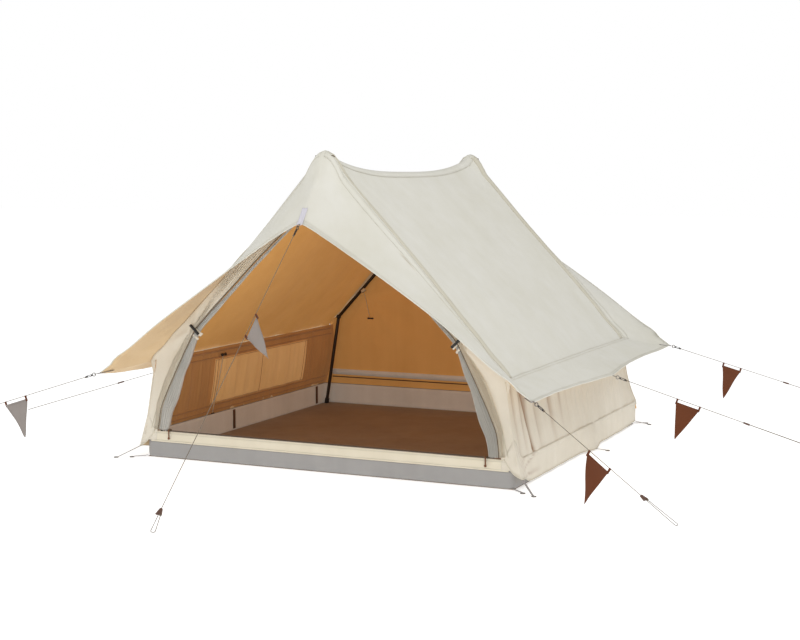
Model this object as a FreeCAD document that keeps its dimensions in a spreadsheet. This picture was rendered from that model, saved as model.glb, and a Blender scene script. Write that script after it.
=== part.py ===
import FreeCAD, Part
import Sketcher
import math
import os
from FreeCAD import Placement, Rotation, Vector

doc = FreeCAD.newDocument("RidgeTent")

# ---------------------------------------------------------------- driving dimensions (mm)
SIZES = [
    ("floor_half_width", 1000, "groundsheet, centre to side edge"),
    ("floor_half_depth", 1000, "groundsheet, centre to front edge"),
    ("sheet_thickness", 3, "groundsheet and canvas, as solids"),
    ("seam_gap", 5, "canvas panels stop this far short of a shared seam"),
    ("tub_height", 125, "raised edge of the groundsheet"),
    ("sill_height", 86, "grey front edge of the groundsheet"),
    ("strip_height", 52, "canvas strip above the grey front edge"),
    ("frame_half_spacing", 935, "centre to the plane of each house-shaped frame"),
    ("foot_half_span", 965, "centre to pole foot"),
    ("elbow_half_span", 878, "centre to elbow joint"),
    ("elbow_height", 552, "ground to elbow joint"),
    ("hub_height", 1504, "ground to the centre of each peak hub"),
    ("pole_diameter", 20, "pole tube, outside"),
    ("pole_wall", 1.2, "pole tube, wall"),
    ("joint_radius", 15, "ball of an elbow and barrel of a hub"),
    ("spigot_length", 50, "part of a joint that goes into a pole"),
    ("peak_height", 1548, "ground to canvas at each peak"),
    ("ridge_sag", 94, "drop of the ridge between the peaks"),
    ("seam_half_span", 950, "centre to the seam of roof and side wall"),
    ("seam_height", 503, "ground to the seam of roof and side wall"),
    ("wing_half_span", 1154, "centre to the corner of the eave wing"),
    ("wing_half_depth", 1184, "middle to the corner of the eave wing"),
    ("wing_height", 446, "ground to the corner of the eave wing"),
    ("awning_reach", 1190, "middle to the tip of each awning"),
    ("awning_height", 1217, "ground to the tip of each awning"),
    ("awning_bow", 28, "rise of the awning's free edge"),
    ("door_top", 1340, "ground to the top of the doorway"),
    ("skirt_half_span", 1020, "centre to the hem of the side skirt"),
    ("cord_diameter", 3, "guy line"),
    ("flag_width", 130, "pennant, along the line"),
    ("flag_depth", 185, "pennant cloth, edge to tip"),
    ("flag_drop", 16, "pennant, from the line down to the cloth"),
    ("slider_length", 30, "guy line slider"),
    ("slider_wide", 30, "guy line slider, lower end"),
    ("slider_narrow", 10, "guy line slider, upper end"),
    ("slider_thickness", 8, "guy line slider"),
    ("ring_outer", 10, "guy ring, outer radius"),
    ("ring_inner", 6.5, "guy ring, inner radius"),
    ("ring_thickness", 3, "guy ring"),
    ("peg_ring_outer", 12, "peg ring, outer radius"),
    ("peg_ring_inner", 8, "peg ring, inner radius"),
]

sheet = doc.addObject("Spreadsheet::Sheet", "Sizes")
for row, (alias, value, note) in enumerate(SIZES, start=1):
    sheet.set("A%d" % row, note)
    sheet.set("B%d" % row, str(value))
    sheet.setAlias("B%d" % row, alias)
doc.recompute()


def size(alias):
    """One driving dimension as a number, in millimetres."""
    return float(sheet.get(alias))


SIDES = (("left", -1), ("right", 1))
ENDS = (("front", -1), ("rear", 1))
CANVAS = size("sheet_thickness")
GAP = size("seam_gap")
parts = []


# ---------------------------------------------------------------- ways of making a piece
def keep(piece, label):
    """Give a finished sub-part its name, which is also its file's name."""
    piece.Label = label
    parts.append(piece)
    return piece


def bound(kind, name, **formulas):
    """A Part primitive whose sizes are formulas of the sheet's cells."""
    piece = doc.addObject(kind, name)
    for prop, formula in formulas.items():
        piece.setExpression(prop, formula)
    return piece


def joined(name, pieces):
    """Several primitives fused into one solid."""
    fused = doc.addObject("Part::MultiFuse", name)
    fused.Shapes = pieces
    return fused


def without(name, base, tool):
    """One solid with another cut out of it."""
    cut = doc.addObject("Part::Cut", name)
    cut.Base = base
    cut.Tool = tool
    return cut


def group(label, pieces):
    """Separate solids that share one node."""
    compound = doc.addObject("Part::Compound", label)
    compound.Links = pieces
    return keep(compound, label)


def mirrored_x(source):
    """The same piece on the other side of the middle."""
    twin = doc.addObject("Part::Mirroring", source.Name + "_twin")
    twin.Source = source
    twin.Normal = Vector(1, 0, 0)
    return twin


def fabric(name, near, far, outward, thickness=CANVAS, gap=GAP):
    """A sewn panel: a thin solid between two edges, given as equally many points each.
    The points are on the outer face, and the thickness goes the other way."""
    inward = Vector(outward).normalize() * (-thickness)
    near = [Vector(p) for p in near]
    far = [Vector(p) for p in far]
    for edge in (near, far):
        edge[0] = edge[0] + (edge[1] - edge[0]).normalize() * gap
        edge[-1] = edge[-1] + (edge[-2] - edge[-1]).normalize() * gap
    sections = []
    for a, b in zip(near, far):
        across = (b - a).normalize() * gap
        a = a + across
        b = b - across
        sections.append(Part.makePolygon([a, b, b + inward, a + inward, a]))
    panel = doc.addObject("Part::Feature", name)
    panel.Shape = Part.makeLoft(sections, True, True)
    return panel


def stations(count):
    """Evenly spaced values from -1 to 1."""
    return [-1 + 2 * i / (count - 1) for i in range(count)]


def lerp(a, b, share):
    return Vector(a) + (Vector(b) - Vector(a)) * share


# ---------------------------------------------------------------- frames
def pole(name, start, end, length_formula):
    """An aluminium tube from start to end, both in the frame's plane."""
    body = doc.addObject("PartDesign::Body", name)
    sketch = body.newObject("Sketcher::SketchObject", name + "_section")
    plane = [f for f in body.Origin.OriginFeatures if f.Role == "XY_Plane"][0]
    sketch.AttachmentSupport = (plane, [""])
    sketch.MapMode = "FlatFace"
    for index, formula in enumerate(("Sizes.pole_diameter / 2", "Sizes.pole_diameter / 2 - Sizes.pole_wall")):
        sketch.addGeometry(Part.Circle(Vector(0, 0, 0), Vector(0, 0, 1), 10 - index), False)
        sketch.addConstraint(Sketcher.Constraint("Coincident", index, 3, -1, 1))
        ring = sketch.addConstraint(Sketcher.Constraint("Radius", index, 10 - index))
        sketch.setExpression("Constraints[%d]" % ring, formula)
    pad = body.newObject("PartDesign::Pad", name + "_tube")
    pad.Profile = sketch
    pad.setExpression("Length", length_formula)
    body.Placement = Placement(start, Rotation(Vector(0, 0, 1), end - start))
    return body


LEG_FOOT = Vector(size("foot_half_span"), 0, 6)
ELBOW = Vector(size("elbow_half_span"), 0, size("elbow_height"))
HUB = Vector(0, 0, size("hub_height"))
LEG_WAY = (ELBOW - LEG_FOOT).normalize()
RAFTER_WAY = (HUB - ELBOW).normalize()
FOOT_FLOOR = 4
JOINT_CLEAR = size("joint_radius") + 1
LEG_LENGTH = ("sqrt((Sizes.foot_half_span - Sizes.elbow_half_span)^2 + (Sizes.elbow_height - 6)^2)"
              " - Sizes.joint_radius - 1 - 4.5")
RAFTER_LENGTH = ("sqrt(Sizes.elbow_half_span^2 + (Sizes.hub_height - Sizes.elbow_height)^2)"
                 " - 2 * Sizes.joint_radius - 2")


def at_end(vector, end):
    """The same point in the plane of the front or the rear frame."""
    return Vector(vector.x, end * size("frame_half_spacing"), vector.z)


def frame_poles(end_name, end):
    """Two legs and two rafters of one house-shaped frame."""
    foot = at_end(LEG_FOOT + LEG_WAY * (FOOT_FLOOR + 0.5), end)
    elbow = at_end(ELBOW, end)
    hub = at_end(HUB, end)
    leg = pole(end_name + "_leg", foot, elbow, LEG_LENGTH)
    rafter = pole(end_name + "_rafter", elbow + RAFTER_WAY * JOINT_CLEAR, hub, RAFTER_LENGTH)
    group(end_name + "_legs", [mirrored_x(leg), leg])
    group(end_name + "_rafters", [mirrored_x(rafter), rafter])


def spigot(name, centre, way):
    """The peg of a joint, which slides into a pole."""
    peg = bound("Part::Cylinder", name,
                Radius="Sizes.pole_diameter / 2 - Sizes.pole_wall - 0.3",
                Height="Sizes.joint_radius + Sizes.spigot_length")
    peg.Placement = Placement(centre, Rotation(Vector(0, 0, 1), way))
    return peg


def elbow_joint(end_name, end):
    """A ball with one peg down into the leg and one up into the rafter."""
    centre = at_end(ELBOW, end)
    name = end_name + "_elbow"
    ball = bound("Part::Sphere", name + "_ball", Radius="Sizes.joint_radius")
    ball.Placement = Placement(centre, Rotation())
    return joined(name, [ball, spigot(name + "_leg_peg", centre, -LEG_WAY),
                         spigot(name + "_rafter_peg", centre, RAFTER_WAY)])


def peak_hub(end_name, end):
    """A short barrel across the frame with a peg down into each rafter."""
    centre = at_end(HUB, end)
    name = end_name + "_hub"
    barrel = bound("Part::Cylinder", name + "_barrel", Radius="Sizes.joint_radius",
                   Height="Sizes.joint_radius * 1.6")
    barrel.Placement = Placement(centre - Vector(0, size("joint_radius") * 0.8, 0),
                                 Rotation(Vector(0, 0, 1), Vector(0, 1, 0)))
    left_way = Vector(RAFTER_WAY.x, 0, -RAFTER_WAY.z)
    right_way = Vector(-RAFTER_WAY.x, 0, -RAFTER_WAY.z)
    return joined(name, [barrel, spigot(name + "_left_peg", centre, left_way),
                         spigot(name + "_right_peg", centre, right_way)])


def pole_foot(end_name, end):
    """A cup on the lower end of a leg."""
    name = end_name + "_foot"
    cup = bound("Part::Cylinder", name + "_cup", Radius="Sizes.pole_diameter / 2 + 4", Height="30")
    hole = bound("Part::Cylinder", name + "_hole", Radius="Sizes.pole_diameter / 2 + 0.2", Height="40")
    turn = Rotation(Vector(0, 0, 1), LEG_WAY)
    cup.Placement = Placement(at_end(LEG_FOOT, end), turn)
    hole.Placement = Placement(at_end(LEG_FOOT + LEG_WAY * FOOT_FLOOR, end), turn)
    return without(name, cup, hole)


def frames():
    elbows = []
    hubs = []
    feet = []
    for end_name, end in ENDS:
        frame_poles(end_name, end)
        elbow = elbow_joint(end_name, end)
        foot = pole_foot(end_name, end)
        elbows += [mirrored_x(elbow), elbow]
        feet += [mirrored_x(foot), foot]
        hubs.append(peak_hub(end_name, end))
    group("elbow_joints", elbows)
    group("peak_hubs", hubs)
    group("pole_feet", feet)


# ---------------------------------------------------------------- groundsheet
STRIP_HALF = 925


def slab(name, low, high, **formulas):
    """An upright box from its low corner to its high corner."""
    box = doc.addObject("Part::Box", name)
    box.Length = high.x - low.x
    box.Width = high.y - low.y
    box.Height = high.z - low.z
    for prop, formula in formulas.items():
        box.setExpression(prop, formula)
    box.Placement = Placement(low, Rotation())
    return box


def groundsheet():
    wide = size("floor_half_width")
    deep = size("floor_half_depth")
    tub = size("tub_height")
    sill = size("sill_height")
    floor = slab("groundsheet_floor", Vector(-wide, -deep, 0), Vector(wide, deep, CANVAS),
                 Length="Sizes.floor_half_width * 2", Width="Sizes.floor_half_depth * 2",
                 Height="Sizes.sheet_thickness")
    keep(floor, "groundsheet_floor")
    side = slab("tub_side", Vector(wide - CANVAS, -deep, CANVAS), Vector(wide, deep, tub),
                Length="Sizes.sheet_thickness", Width="Sizes.floor_half_depth * 2",
                Height="Sizes.tub_height - Sizes.sheet_thickness")
    rear = slab("tub_rear", Vector(-wide + CANVAS, deep - CANVAS, CANVAS), Vector(wide - CANVAS, deep, tub),
                Length="(Sizes.floor_half_width - Sizes.sheet_thickness) * 2", Width="Sizes.sheet_thickness",
                Height="Sizes.tub_height - Sizes.sheet_thickness")
    group("tub_walls", [mirrored_x(side), side, rear])
    front = slab("front_sill", Vector(-wide + CANVAS, -deep, CANVAS), Vector(wide - CANVAS, -deep + CANVAS, sill),
                 Length="(Sizes.floor_half_width - Sizes.sheet_thickness) * 2", Width="Sizes.sheet_thickness",
                 Height="Sizes.sill_height - Sizes.sheet_thickness")
    keep(front, "front_sill")
    strip = slab("sill_strip", Vector(-STRIP_HALF, -deep, sill), Vector(STRIP_HALF, -deep + CANVAS, sill),
                 Width="Sizes.sheet_thickness", Height="Sizes.strip_height")
    keep(strip, "sill_strip")


# ---------------------------------------------------------------- canvas
WALL_FOOT_X = size("floor_half_width") + 4
WALL_FOOT_Z = size("tub_height") + 13
ROOF_SLOPE = (size("peak_height") - size("seam_height")) / size("seam_half_span")


def ridge_height(along):
    """Height of the sagging ridge; along is -1 at the front peak and 1 at the rear peak."""
    return size("peak_height") - size("ridge_sag") * (1 - abs(along) ** 3)


def wing_edge(side, along):
    """The scalloped outer edge of an eave wing, held out at the corners and the middle."""
    scallop = abs(math.sin(math.pi * along)) * 48
    x = size("wing_half_span") + 8 * (1 - abs(along)) - scallop
    z = size("wing_height") - 30 * (1 - along * along)
    return Vector(side * x, along * size("wing_half_depth"), z)


def seam_point(side, along):
    """The seam of roof, side wall and eave wing."""
    return Vector(side * size("seam_half_span"), along * size("frame_half_spacing"), size("seam_height"))


def roof():
    for side_name, side in SIDES:
        ridge = [Vector(0, t * size("frame_half_spacing"), ridge_height(t)) for t in stations(9)]
        seam = [seam_point(side, t) for t in stations(9)]
        outward = Vector(side * ROOF_SLOPE, 0, 1)
        keep(fabric("roof_" + side_name, ridge, seam, outward), "roof_" + side_name)
        inner = [seam_point(side, t) for t in stations(13)]
        outer = [wing_edge(side, t) for t in stations(13)]
        wing = fabric("eave_wing_" + side_name, inner, outer, Vector(side * 0.3, 0, 1))
        keep(wing, "eave_wing_" + side_name)


def ridge_binding():
    """The folded tape along the ridge, over both roof panels."""
    height = 4
    left = [Vector(-14, t * size("frame_half_spacing"), ridge_height(t) + height) for t in stations(9)]
    right = [Vector(14, p.y, p.z) for p in left]
    keep(fabric("ridge_binding", left, right, Vector(0, 0, 1), 2, 2), "ridge_binding")


def awning(end_name, end):
    """Two triangles ahead of the frame, from the peak to the tip and out to the wing corners."""
    peak = Vector(0, end * size("frame_half_spacing"), size("peak_height"))
    tip = Vector(0, end * size("awning_reach"), size("awning_height"))
    panels = []
    for side_name, side in SIDES:
        shares = [i / 6 for i in range(7)]
        corner = wing_edge(side, end)
        near = [lerp(peak, seam_point(side, end), s) for s in shares]
        far = [lerp(tip, corner, s) + Vector(0, 0, size("awning_bow") * 4 * s * (1 - s)) for s in shares]
        panels.append(fabric(end_name + "_awning_" + side_name, near, far, Vector(side * 0.6, end * 0.5, 0.7)))
    group(end_name + "_awning", panels)


def sleeve_bands():
    """The doubled canvas over each rafter, on the outside of the roof."""
    bands = []
    for side_name, side in SIDES:
        for end_name, end in ENDS:
            lift = Vector(side * ROOF_SLOPE, 0, 1).normalize() * 7
            top = Vector(0, end * size("frame_half_spacing"), size("peak_height"))
            bottom = seam_point(side, end)
            edge = [lerp(top, bottom, 0.03) + lift, lerp(top, bottom, 0.97) + lift]
            drop = size("peak_height") - ridge_height(1 - 60 / size("frame_half_spacing"))
            step = Vector(0, -end * 60, 0)
            inner = [edge[0] + step + Vector(0, 0, -drop), edge[1] + step]
            bands.append(fabric("sleeve_%s_%s" % (end_name, side_name), edge, inner, lift, 2, 2))
    group("sleeve_bands", bands)


def gable_y(height, end):
    """The gable leans in a little: from the sill up to just outside the frame."""
    lean = 35 * (height - WALL_FOOT_Z) / (size("peak_height") - WALL_FOOT_Z)
    return end * (size("floor_half_depth") - 2 - lean)


def gable_point(x, height, end):
    return Vector(x, gable_y(height, end), height)


def roof_edge_x(height):
    """Half width under the roof at this height, with room for the roof panel."""
    return (size("peak_height") - height) / ROOF_SLOPE - 30


DOOR_EDGE = [(0, size("door_top")), (722, 690), (885, 320), (940, WALL_FOOT_Z + 4)]
FLAP_EDGE = DOOR_EDGE[:3] + [(925, 172)]
FLAP_WIDTH = [36, 36, 50, 55]
NET_WIDTH = 28
GABLE_EDGE = [(30, size("peak_height") - 100), (roof_edge_x(650), 650), (938, 492), (990, WALL_FOOT_Z + 4)]


def front_gable():
    """The narrow canvas panels between the doorway and the roof and walls."""
    panels = []
    for side_name, side in SIDES:
        outer = [gable_point(side * x, z, -1) for x, z in GABLE_EDGE]
        inner = [gable_point(side * (x + 8), z, -1) for x, z in DOOR_EDGE]
        panels.append(fabric("front_gable_" + side_name, outer, inner, Vector(0, -1, 0)))
    group("front_gable", panels)


def rear_gable():
    """One closed panel across the rear frame."""
    left = [gable_point(-x, z, 1) for x, z in GABLE_EDGE]
    right = [gable_point(x, z, 1) for x, z in GABLE_EDGE]
    keep(fabric("rear_gable", left, right, Vector(0, 1, 0)), "rear_gable")


def door_flaps():
    """The opened canvas door halves, gathered along the doorway's edges and tied back, with the
    grey net door halves gathered inside them."""
    flaps = []
    nets = []
    for side_name, side in SIDES:
        outer = [gable_point(side * (x + 1), z + 10, -1) for x, z in FLAP_EDGE]
        inner = [gable_point(side * (x + 2 - width), z - 6, -1) for (x, z), width in zip(FLAP_EDGE, FLAP_WIDTH)]
        for edge in (outer, inner):
            edge[0] = lerp(edge[0], edge[1], 0.12)
        flaps.append(fabric("door_flap_" + side_name, outer, inner, Vector(0, -1, 0), 18, 1))
        beyond = [p + Vector(-side * 3, 4, 0) for p in inner]
        edge = [p + Vector(-side * NET_WIDTH, 0, -4) for p in beyond]
        nets.append(fabric("net_" + side_name, beyond, edge, Vector(0, -1, 0), 10, 1))
    group("door_flaps", flaps)
    group("net_doors", nets)


def side_walls():
    """Each side wall hangs from the eave seam and is sewn to the top of the groundsheet's edge;
    the skirt is sewn on there too and flares out to the pegs."""
    half = size("frame_half_spacing")
    deep = size("floor_half_depth")
    for side_name, side in SIDES:
        outward = Vector(side, 0, 0.1)
        top = [Vector(side * (size("seam_half_span") - 4), t * (half + 20), size("seam_height") - 12)
               for t in stations(3)]
        foot = [Vector(side * WALL_FOOT_X, t * deep, WALL_FOOT_Z) for t in stations(3)]
        keep(fabric("side_wall_" + side_name, top, foot, outward, CANVAS, 1), "side_wall_" + side_name)
        sewn = [Vector(side * (WALL_FOOT_X + 1), t * deep, WALL_FOOT_Z - 4) for t in stations(9)]
        hem = [skirt_hem(side, t) for t in stations(9)]
        skirt = fabric("skirt_" + side_name, sewn, hem, Vector(side, 0, 0.35), CANVAS, 1)
        keep(skirt, "skirt_" + side_name)


def skirt_hem(side, along):
    """The hem lies near the ground and is pulled out and up a little at the corners."""
    pull = abs(along) ** 6
    x = size("skirt_half_span") + 17 * pull
    return Vector(side * x, along * (size("floor_half_depth") + 8), 10 + 42 * pull)


def wall_trim():
    """The window covers, and the webbing under the eave, inside each side wall."""
    windows = []
    bands = []
    slope = (WALL_FOOT_X - size("seam_half_span") + 4) / (size("seam_height") - 12 - WALL_FOOT_Z)

    def inside_wall(side, y, z):
        x = WALL_FOOT_X - slope * (z - WALL_FOOT_Z) - CANVAS - 3
        return Vector(side * x, y, z)

    for side_name, side in SIDES:
        top = [inside_wall(side, -420, 440), inside_wall(side, 640, 440)]
        foot = [inside_wall(side, -420, 205), inside_wall(side, 640, 205)]
        windows.append(fabric("window_" + side_name, top, foot, Vector(side, 0, slope), 2, 0.5))
        top = [inside_wall(side, -880, 486), inside_wall(side, 880, 486)]
        foot = [inside_wall(side, -880, 450), inside_wall(side, 880, 450)]
        bands.append(fabric("band_" + side_name, top, foot, Vector(side, 0, slope), 2, 0.5))
    group("window_covers", windows)
    group("eave_bands", bands)
    wall_tie = inside_wall(-1, -347, 452) + Vector(12, 0, 0)
    rafter_tie = Vector(-705, size("frame_half_spacing"), 722)
    hanging_ties([("wall", wall_tie, 225), ("rafter", rafter_tie, 120)])


def hanging_ties(places):
    """Narrow tapes with a small toggle at the top or the bottom, for what is rolled up inside."""
    ties = []
    for name, top, length in places:
        low = top - Vector(0.6, 4, length)
        ties.append(slab(name + "_tape", low, top + Vector(0.6, 4, -0.5)))
        toggle = doc.addObject("Part::Cylinder", name + "_tie_toggle")
        toggle.Radius = 4
        toggle.Height = 26
        toggle.Placement = Placement(Vector(top.x, top.y - 13, low.z - 4.3), Rotation(Vector(1, 0, 0), -90))
        ties.append(toggle)
    group("hanging_ties", ties)


# ---------------------------------------------------------------- door fastenings
ZIP_Z = size("sill_height") + size("strip_height") + 1
ZIP_Y = -size("floor_half_depth") + CANVAS / 2
ZIP_HALF = 900
ZIP_PARK = 860
PULL_PIN = Vector(0, -12, 7)


def door_zip():
    """The zip's teeth along the top of the sill strip, where the closed door halves end."""
    chain = slab("zip_chain", Vector(-ZIP_HALF, ZIP_Y - 1.5, ZIP_Z), Vector(ZIP_HALF, ZIP_Y + 1.5, ZIP_Z + 5))
    keep(chain, "zip_chain")
    for side_name, side in SIDES:
        zip_slider(side_name, Vector(side * ZIP_PARK, ZIP_Y, ZIP_Z))


def zip_slider(side_name, place):
    """A slider that straddles the teeth, with a pin in front for its leather pull."""
    name = "zip_slider_" + side_name
    block = slab(name + "_block", Vector(-7, -6, 0.3), Vector(7, 6, 10))
    channel = slab(name + "_channel", Vector(-8, -1.9, 0), Vector(8, 1.9, 5.5))
    body = without(name + "_body", block, channel)
    ears = []
    for ear_x in (-5.5, 3.5):
        ears.append(slab(name + "_ear%d" % len(ears), Vector(ear_x, -14, 5), Vector(ear_x + 2, -5.5, 9)))
    pin = doc.addObject("Part::Cylinder", name + "_pin")
    pin.Radius = 1
    pin.Height = 9
    pin.Placement = Placement(PULL_PIN + Vector(-4.5, 0, 0), Rotation(Vector(0, 0, 1), Vector(1, 0, 0)))
    slider = joined(name, [body, pin] + ears)
    slider.Placement = Placement(place, Rotation())
    keep(slider, name)
    pull_name = "zip_pull_" + side_name
    strap = slab(pull_name + "_strap", Vector(-3, -1.2, -46), Vector(3, 1.2, 2.6))
    eye = doc.addObject("Part::Cylinder", pull_name + "_eye")
    eye.Radius = 2.7
    eye.Height = 6
    eye.Placement = Placement(Vector(-3, 0, 0), Rotation(Vector(0, 0, 1), Vector(1, 0, 0)))
    hole = doc.addObject("Part::Cylinder", pull_name + "_hole")
    hole.Radius = 1.3
    hole.Height = 10
    hole.Placement = Placement(Vector(-5, 0, 0), Rotation(Vector(0, 0, 1), Vector(1, 0, 0)))
    tongue = doc.addObject("Part::Cylinder", pull_name + "_tongue")
    tongue.Radius = 6.5
    tongue.Height = 2.4
    tongue.Placement = Placement(Vector(0, 1.2, -42), Rotation(Vector(1, 0, 0), 90))
    pull = without(pull_name, joined(pull_name + "_blank", [strap, eye, tongue]), hole)
    pull.Placement = Placement(place + PULL_PIN, Rotation())
    keep(pull, pull_name)


TOGGLE_AT = Vector(708, 0, 664)
TOGGLE_LENGTH = 64
TOGGLE_RADIUS = 7
TOGGLE_FRONT = 12


def toggles():
    """A loop of canvas round each tied-back door half, closed by a toggle."""
    loops = []
    for side_name, side in SIDES:
        centre = gable_point(side * TOGGLE_AT.x, TOGGLE_AT.z, -1)
        across = Vector(side * 0.72, 0, 0.69)
        start = centre - across * 40 + Vector(0, -2, 0)
        end = centre + across * 52 + Vector(0, -2, 0)
        along = Vector(side * 0.69, 0, -0.72) * 11
        loops.append(fabric("loop_" + side_name, [start - along, end - along], [start + along, end + along],
                            Vector(0, -1, 0), 1.2, 0.2))
        name = "door_toggle_" + side_name
        bar = doc.addObject("Part::Cylinder", name + "_bar")
        bar.Radius = TOGGLE_RADIUS
        bar.Height = TOGGLE_LENGTH
        waist = doc.addObject("Part::Torus", name + "_waist")
        waist.Radius1 = TOGGLE_RADIUS + 1
        waist.Radius2 = 2.5
        waist.Placement = Placement(Vector(0, 0, TOGGLE_LENGTH / 2), Rotation())
        toggle = without(name, bar, waist)
        turn = Rotation(Vector(0, 0, 1), across)
        middle = turn.multVec(Vector(0, 0, TOGGLE_LENGTH / 2))
        toggle.Placement = Placement(centre + Vector(0, -TOGGLE_FRONT, 0) - middle, turn)
        keep(toggle, name)
    group("toggle_loops", loops)


# ---------------------------------------------------------------- guy lines
def guy_anchor(name):
    """Where the guy ring hangs, just outside the canvas at each pulling point."""
    reach = 26
    x = size("wing_half_span")
    y = size("wing_half_depth")
    z = size("wing_height") - 3
    corner = reach * 0.7
    places = {
        "front": Vector(0, -size("awning_reach") - reach, size("awning_height") - reach),
        "rear": Vector(0, size("awning_reach") + reach, size("awning_height") - reach),
        "front_right": Vector(x + corner, -y - corner, z - 6),
        "front_left": Vector(-x - corner, -y - corner, z - 6),
        "rear_right": Vector(x + corner, y + corner, z - 6),
        "rear_left": Vector(-x - corner, y + corner, z - 6),
        "middle_right": Vector(x + 8 + reach, 0, z - 36),
        "middle_left": Vector(-x - 8 - reach, 0, z - 36),
    }
    return places[name]


# ground end, start of the pennant and start of the slider along each line (mm from the ring)
GUY_LINES = [
    ("front", Vector(-60, -2370, 3), 515, 1545),
    ("front_right", Vector(1845, -1385, 3), 322, 625),
    ("middle_right", Vector(2240, 415, 3), 320, 680),
    ("rear_right", Vector(2150, 2100, 3), 347, 780),
    ("front_left", Vector(-2520, -1400, 3), 405, 1000),
    ("middle_left", Vector(-2510, -26, 3), None, 670),
]
RING_NAMES = ["front", "rear", "front_right", "front_left", "rear_right", "rear_left",
              "middle_right", "middle_left"]
HOOK_LENGTH = 34
LOOP_WIDTH = 24
FLAG_TAB = 9
LOOP_BENDS = [11.5, 11.0]
RETURN_OFFSET = 11
radii = []


def line_frame(start, end):
    """Rotation with X along the line, Y level across it and Z square to both, upwards."""
    way = (end - start).normalize()
    across = Vector(0, 0, 1).cross(way).normalize()
    return Rotation(way, across, way.cross(across), "XYZ")


def flat_ring(name, centre, turn, outer, inner, thickness):
    """A flat ring with its hole along the local Y axis."""
    disc = bound("Part::Cylinder", name + "_disc", Radius=outer, Height=thickness)
    hole = bound("Part::Cylinder", name + "_hole", Radius=inner, Height=thickness + " * 3")
    across = Rotation(Vector(1, 0, 0), -90)
    height = size("ring_thickness")
    disc.Placement = Placement(Vector(0, -height / 2, 0), across)
    hole.Placement = Placement(Vector(0, -height * 1.5, 0), across)
    ring = without(name, disc, hole)
    ring.Placement = Placement(centre, turn)
    return ring


def outward_turn(name):
    """A ring at a pulling point without a line faces along the outward direction."""
    anchor = guy_anchor(name)
    return line_frame(anchor, anchor + Vector(anchor.x, anchor.y, -0.6 * anchor.z))


def tent_edge(name):
    """The canvas point that each ring's webbing is sewn to."""
    edge = {
        "front": Vector(0, -size("awning_reach") + 4, size("awning_height") - 2),
        "rear": Vector(0, size("awning_reach") - 4, size("awning_height") - 2),
    }
    if name in edge:
        return edge[name]
    end_name, side_name = name.split("_")
    along = {"front": -1, "rear": 1, "middle": 0}[end_name]
    side = {"left": -1, "right": 1}[side_name]
    return wing_edge(side, along) - Vector(side * 4, along * 4, 4)


def guy_fittings():
    """Webbing tab and ring at all eight pulling points."""
    tabs = []
    rings = []
    lines = {name: end for name, end, flag, slider in GUY_LINES}
    for name in RING_NAMES:
        anchor = guy_anchor(name)
        turn = line_frame(anchor, lines[name]) if name in lines else outward_turn(name)
        rings.append(flat_ring("ring_" + name, anchor, turn, "Sizes.ring_outer", "Sizes.ring_inner",
                               "Sizes.ring_thickness"))
        start = tent_edge(name)
        way = (anchor - start).normalize()
        stop = anchor - way * (size("ring_outer") + 0.5)
        across = Vector(0, 0, 1).cross(way).normalize() * 9
        up = across.cross(way).normalize()
        if up.z < 0:
            up = up * -1
        tabs.append(fabric("tab_" + name, [start - across - up * 4, stop - across - up * 1],
                           [start + across - up * 4, stop + across - up * 1], up, 2, 0.2))
    group("guy_tabs", tabs)
    group("guy_rings", rings)


def hook(name, anchor, turn):
    """A flat wire-like clip from the ring to the line: a bar with a slot, open at the ring's end."""
    half = 5
    bar = slab(name + "_bar", Vector(0, -1.5, -half), Vector(HOOK_LENGTH, 1.5, half))
    slot = slab(name + "_slot", Vector(7, -3, -half + 3), Vector(HOOK_LENGTH - 8, 3, half - 3))
    clip = without(name, bar, slot)
    start = turn.multVec(Vector(size("ring_outer") + 0.5, 0, 0))
    clip.Placement = Placement(anchor + start, turn)
    return clip


def cord(name, route, corner_radii):
    """A round cord along straight runs joined by tangent arcs; the length is checked by volume."""
    radius = size("cord_diameter") / 2
    edges = []
    length = 0
    last = route[0]
    for corner, before, after, bend in zip(route[1:-1], route[:-2], route[2:], corner_radii):
        come = (corner - before).normalize()
        leave = (after - corner).normalize()
        turn = come.getAngle(leave)
        setback = bend * math.tan(turn / 2)
        enter = corner - come * setback
        away = corner + leave * setback
        middle_way = (leave - come).normalize()
        centre = corner + middle_way * (bend / math.cos(turn / 2))
        edges.append(Part.LineSegment(last, enter).toShape())
        edges.append(Part.Arc(enter, centre - middle_way * bend, away).toShape())
        length += (enter - last).Length + bend * turn
        last = away
        radii.append((name, round(bend, 1)))
    edges.append(Part.LineSegment(last, route[-1]).toShape())
    length += (route[-1] - last).Length
    path = Part.Wire(edges)
    ring = Part.Wire(Part.Circle(route[0], route[1] - route[0], radius).toShape())
    solid = path.makePipeShell([ring], True, False)
    expected = math.pi * radius * radius * length
    if abs(solid.Volume - expected) > 0.01 * expected:
        raise RuntimeError("cord %s has the wrong volume" % name)
    line = doc.addObject("Part::Feature", name)
    line.Shape = solid
    print("%s is %.0f mm long" % (name, length))
    return keep(line, name)


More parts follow.
